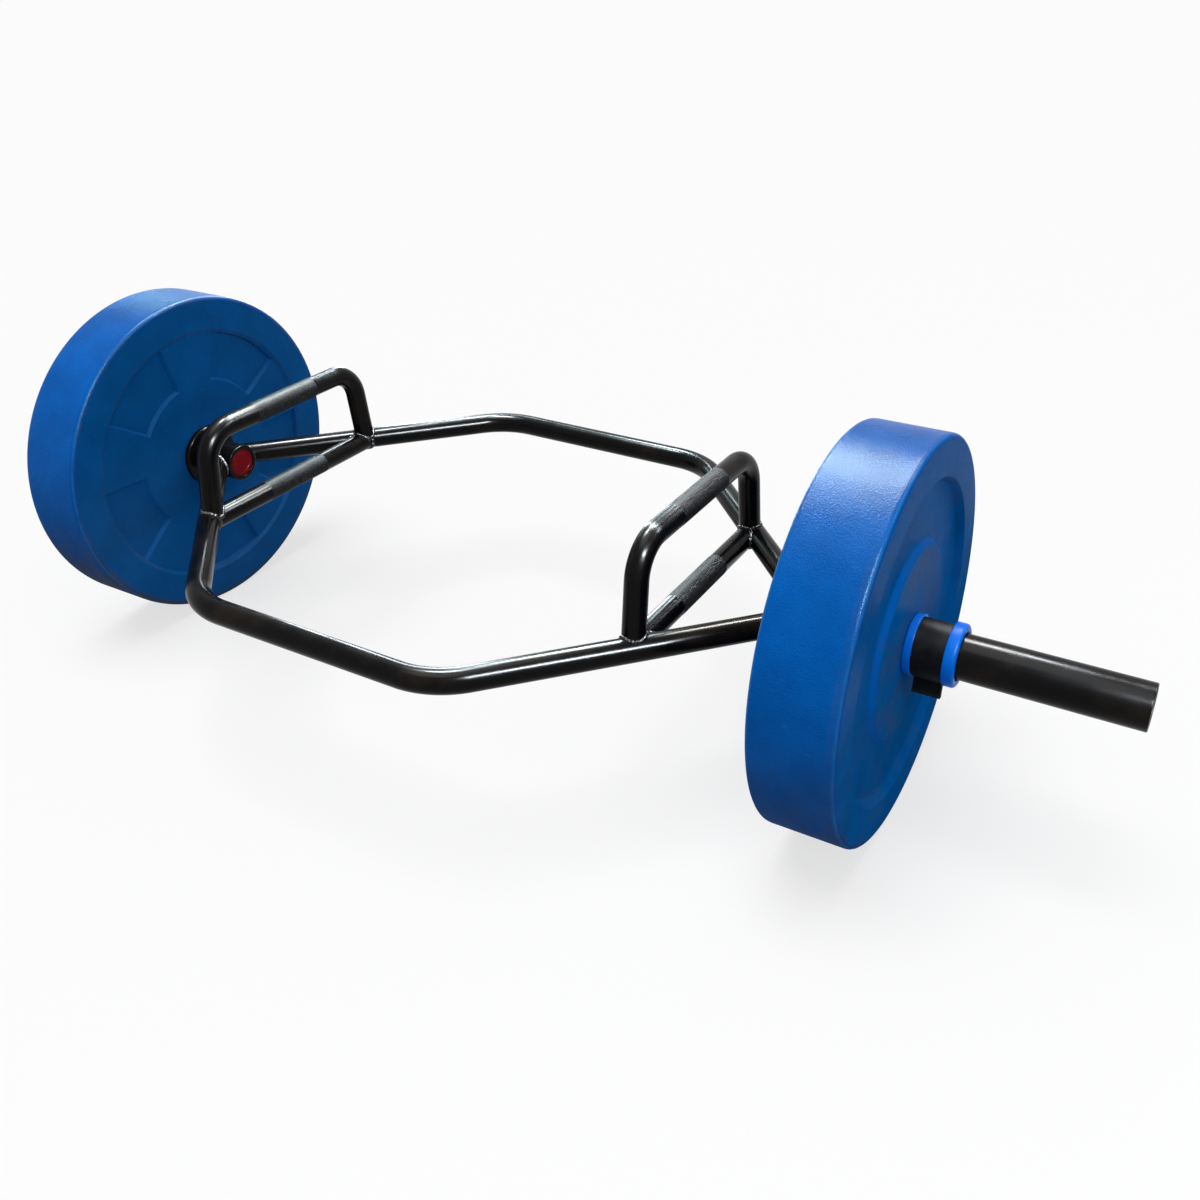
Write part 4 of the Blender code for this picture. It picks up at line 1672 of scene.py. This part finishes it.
    def build_rubbers(self) -> None:
        """Model the pressure shoe and the three grip pads."""
        shoe = self.sector((self.pad_bore, self.pivot_radius - self.knuckle - GAP), self.pivot_angle,
                           self.shoe_half, self.band_start + self.shoe_inset, self.band_end - self.shoe_inset)
        self.hang_rubber(shoe, "pressure_shoe", "shoe_rubber", "cam_shoe")
        for key, angle in self.pad_angles.items():
            pad = self.sector((self.pad_bore, self.pad_bore + self.pad_thickness), angle, self.pad_half,
                              self.pad_inset, self.length - self.pad_inset)
            self.hang_rubber(pad, f"grip_rubber_{key}", "pad_rubber", f"grip_pad_{key}")

    def build(self) -> None:
        """Build both collars."""
        self.build_ring()
        self.build_lever()
        self.build_pin()
        self.build_rubbers()


# Studio


class Reach(Enum):
    """What a lamp adds to the picture: reflections in gloss, or plain fill light."""

    SHEEN = "sheen"
    FILL = "fill"


@dataclass(frozen=True)
class Strip:
    """A soft rectangular lamp, hung over the bar with its long side along its run."""

    name: str
    place: Triple
    run: Triple
    length: float
    width: float
    glow: float
    reach: Reach = Reach.SHEEN
    colour: Colour = (0.86, 0.93, 1.0)

    def hang(self, target: Vector) -> None:
        """Add the lamp.

        Args:
            target: What the lamp faces.
        """
        bpy.ops.object.light_add(type="AREA", location=self.place)
        lamp = bpy.context.object
        lamp.name = self.name
        place = Vector(self.place)
        facing = (place - target).normalized()
        across = facing.cross(Vector(self.run)).normalized()
        lamp.matrix_world = axes_at(place, across.cross(facing), across, facing)
        lamp.data.shape = "RECTANGLE"
        lamp.data.size = self.length
        lamp.data.size_y = self.width
        lamp.data.energy = self.glow * math.pi * self.length * self.width
        lamp.data.color = self.colour
        lamp.visible_diffuse = self.reach is Reach.FILL
        lamp.visible_glossy = self.reach is Reach.SHEEN


@dataclass
class Studio:
    """Pale floor, white surroundings, soft lamps and the camera at the photograph's angle."""

    azimuth: float = 0.52042
    elevation: float = 0.48866
    roll: float = -0.01198
    camera_place: Vector = field(default_factory=lambda: Vector((0.83901, -1.05789, 0.91451)))
    focal_pixels: float = 1185.877
    centre_x: float = 636.8455
    centre_y: float = 538.1349
    sensor: float = 36.0
    ambient: float = 0.46
    sun_power: float = 2.4
    sun_spread: float = math.radians(40)
    sun_lean: Triple = (0.12, -0.12, 0.0)
    floor_size: float = 60.0
    floor_glow: float = 0.69
    floor_tone: float = 0.23
    strips: Sequence[Strip] = (
        Strip("sheen_low", (-1.94, 2.19, 0.95), (-0.69, 0.81, 0.50), 2.35, 0.20, 46.0),
        Strip("sheen_tip", (0.44, 1.43, 2.38), (1.0, 0.0, 0.0), 0.34, 0.40, 220.0),
        Strip("sheen_over", (-0.91, 1.61, 2.32), (0.22, 0.03, -0.14), 0.52, 0.50, 320.0,
              colour=(0.70, 0.95, 1.0)),
        Strip("sheen_high", (-0.70, 0.54, 2.45), (0.82, 0.57, 0.0), 0.44, 0.44, 380.0),
        Strip("sheen_wide", (-0.16, 1.28, 2.50), (1.0, 0.0, 0.0), 1.0, 0.45, 170.0,
              colour=(1.0, 0.94, 0.84)),
        Strip("sheen_front", (1.75, -1.08, 1.85), (0.50, 0.60, -0.62), 1.0, 0.36, 400.0),
        Strip("sheen_side", (-2.40, 1.40, 1.25), (0.50, 0.86, 0.0), 0.60, 0.40, 10.0,
              colour=(0.50, 1.0, 0.95)),
        Strip("sheen_back", (1.50, 1.35, 2.04), (0.42, 0.15, 0.11), 0.92, 0.20, 190.0),
        Strip("fill_near", (0.80, -1.20, 1.10), (1.0, 0.0, 0.0), 0.70, 0.50, 1.2, Reach.FILL),
        Strip("fill_side", (2.20, -0.30, 1.00), (0.0, 1.0, 0.0), 0.70, 0.50, 3.6, Reach.FILL))

    def build_camera(self) -> None:
        """Add the camera that frames the bar as the photograph does."""
        forward = Vector((-math.sin(self.azimuth) * math.cos(self.elevation),
                          math.cos(self.azimuth) * math.cos(self.elevation), -math.sin(self.elevation)))
        level = forward.cross(Vector((0, 0, 1))).normalized()
        upright = level.cross(forward)
        right = math.cos(self.roll) * level + math.sin(self.roll) * upright
        up = math.cos(self.roll) * upright - math.sin(self.roll) * level
        bpy.ops.object.camera_add()
        camera = bpy.context.object
        camera.name = "photo_camera"
        camera.matrix_world = axes_at(self.camera_place, right, up, -forward)
        camera.data.sensor_width = self.sensor
        camera.data.lens = self.focal_pixels / PHOTO_SIZE * self.sensor
        camera.data.shift_x = -(self.centre_x - PHOTO_SIZE / 2) / PHOTO_SIZE
        camera.data.shift_y = (self.centre_y - PHOTO_SIZE / 2) / PHOTO_SIZE
        bpy.context.scene.camera = camera

    def seen(self, tree: bpy.types.NodeTree) -> Socket:
        """Find the rays that show the surroundings: from the camera, by gloss or through glass.

        Args:
            tree: The material or world that asks.

        Returns:
            1 for those rays, and 0 for the rest.
        """
        path = tree.nodes.new("ShaderNodeLightPath")
        total = path.outputs["Is Camera Ray"]
        for name in ("Is Glossy Ray", "Is Transmission Ray"):
            node = tree.nodes.new("ShaderNodeMath")
            node.operation = "MAXIMUM"
            tree.links.new(total, node.inputs[0])
            tree.links.new(path.outputs[name], node.inputs[1])
            total = node.outputs[0]
        return total

    def build_world(self) -> None:
        """White where it is seen, a plain soft level where it lights."""
        world = bpy.data.worlds.new("studio_world")
        world.use_nodes = True
        bpy.context.scene.world = world
        tree = world.node_tree
        background = tree.nodes["Background"]
        background.inputs["Color"].default_value = (1, 1, 1, 1)
        strength = tree.nodes.new("ShaderNodeMapRange")
        strength.inputs["To Min"].default_value = self.ambient
        tree.links.new(self.seen(tree), strength.inputs["Value"])
        tree.links.new(strength.outputs[0], background.inputs["Strength"])

    def build_floor(self) -> None:
        """A wide pale floor that keeps a soft shadow."""
        bpy.ops.mesh.primitive_plane_add(size=self.floor_size)
        floor = bpy.context.object
        floor.name = "studio_floor"
        material = bpy.data.materials.new("pale_floor")
        material.use_nodes = True
        tree = material.node_tree
        surface = tree.nodes["Principled BSDF"]
        surface.inputs["Base Color"].default_value = (self.floor_tone,) * 3 + (1.0,)
        surface.inputs["Roughness"].default_value = 1.0
        surface.inputs["Specular IOR Level"].default_value = 0.0
        surface.inputs["Emission Color"].default_value = (1, 1, 1, 1)
        glow = tree.nodes.new("ShaderNodeMath")
        glow.operation = "MULTIPLY"
        glow.inputs[1].default_value = self.floor_glow
        tree.links.new(self.seen(tree), glow.inputs[0])
        tree.links.new(glow.outputs[0], surface.inputs["Emission Strength"])
        floor.data.materials.append(material)

    def build_lamps(self) -> None:
        """Add the sun, and hang the lamps whose reflections run along the tubes."""
        bpy.ops.object.light_add(type="SUN", rotation=self.sun_lean)
        sun = bpy.context.object
        sun.name = "overhead_light"
        sun.data.energy = self.sun_power
        sun.data.angle = self.sun_spread
        for strip in self.strips:
            strip.hang(Vector((0, 0, AXIS_HEIGHT)))

    def build(self) -> None:
        """Build the studio."""
        self.build_camera()
        self.build_world()
        self.build_floor()
        self.build_lamps()
        bpy.context.scene.view_settings.view_transform = "Standard"


def main() -> None:
    """Build the bar, its loads and the studio."""
    logging.basicConfig(level=logging.INFO, format="%(message)s")
    hexagon = HexFrame()
    grips = Grips(hexagon)
    for assembly in (hexagon, grips, Welds(hexagon, grips), BumperPlate(), Collar(), Studio()):
        LOG.info("building %s", type(assembly).__name__)
        assembly.build()
    bpy.ops.object.select_all(action="DESELECT")


if __name__ == "__main__":
    main()
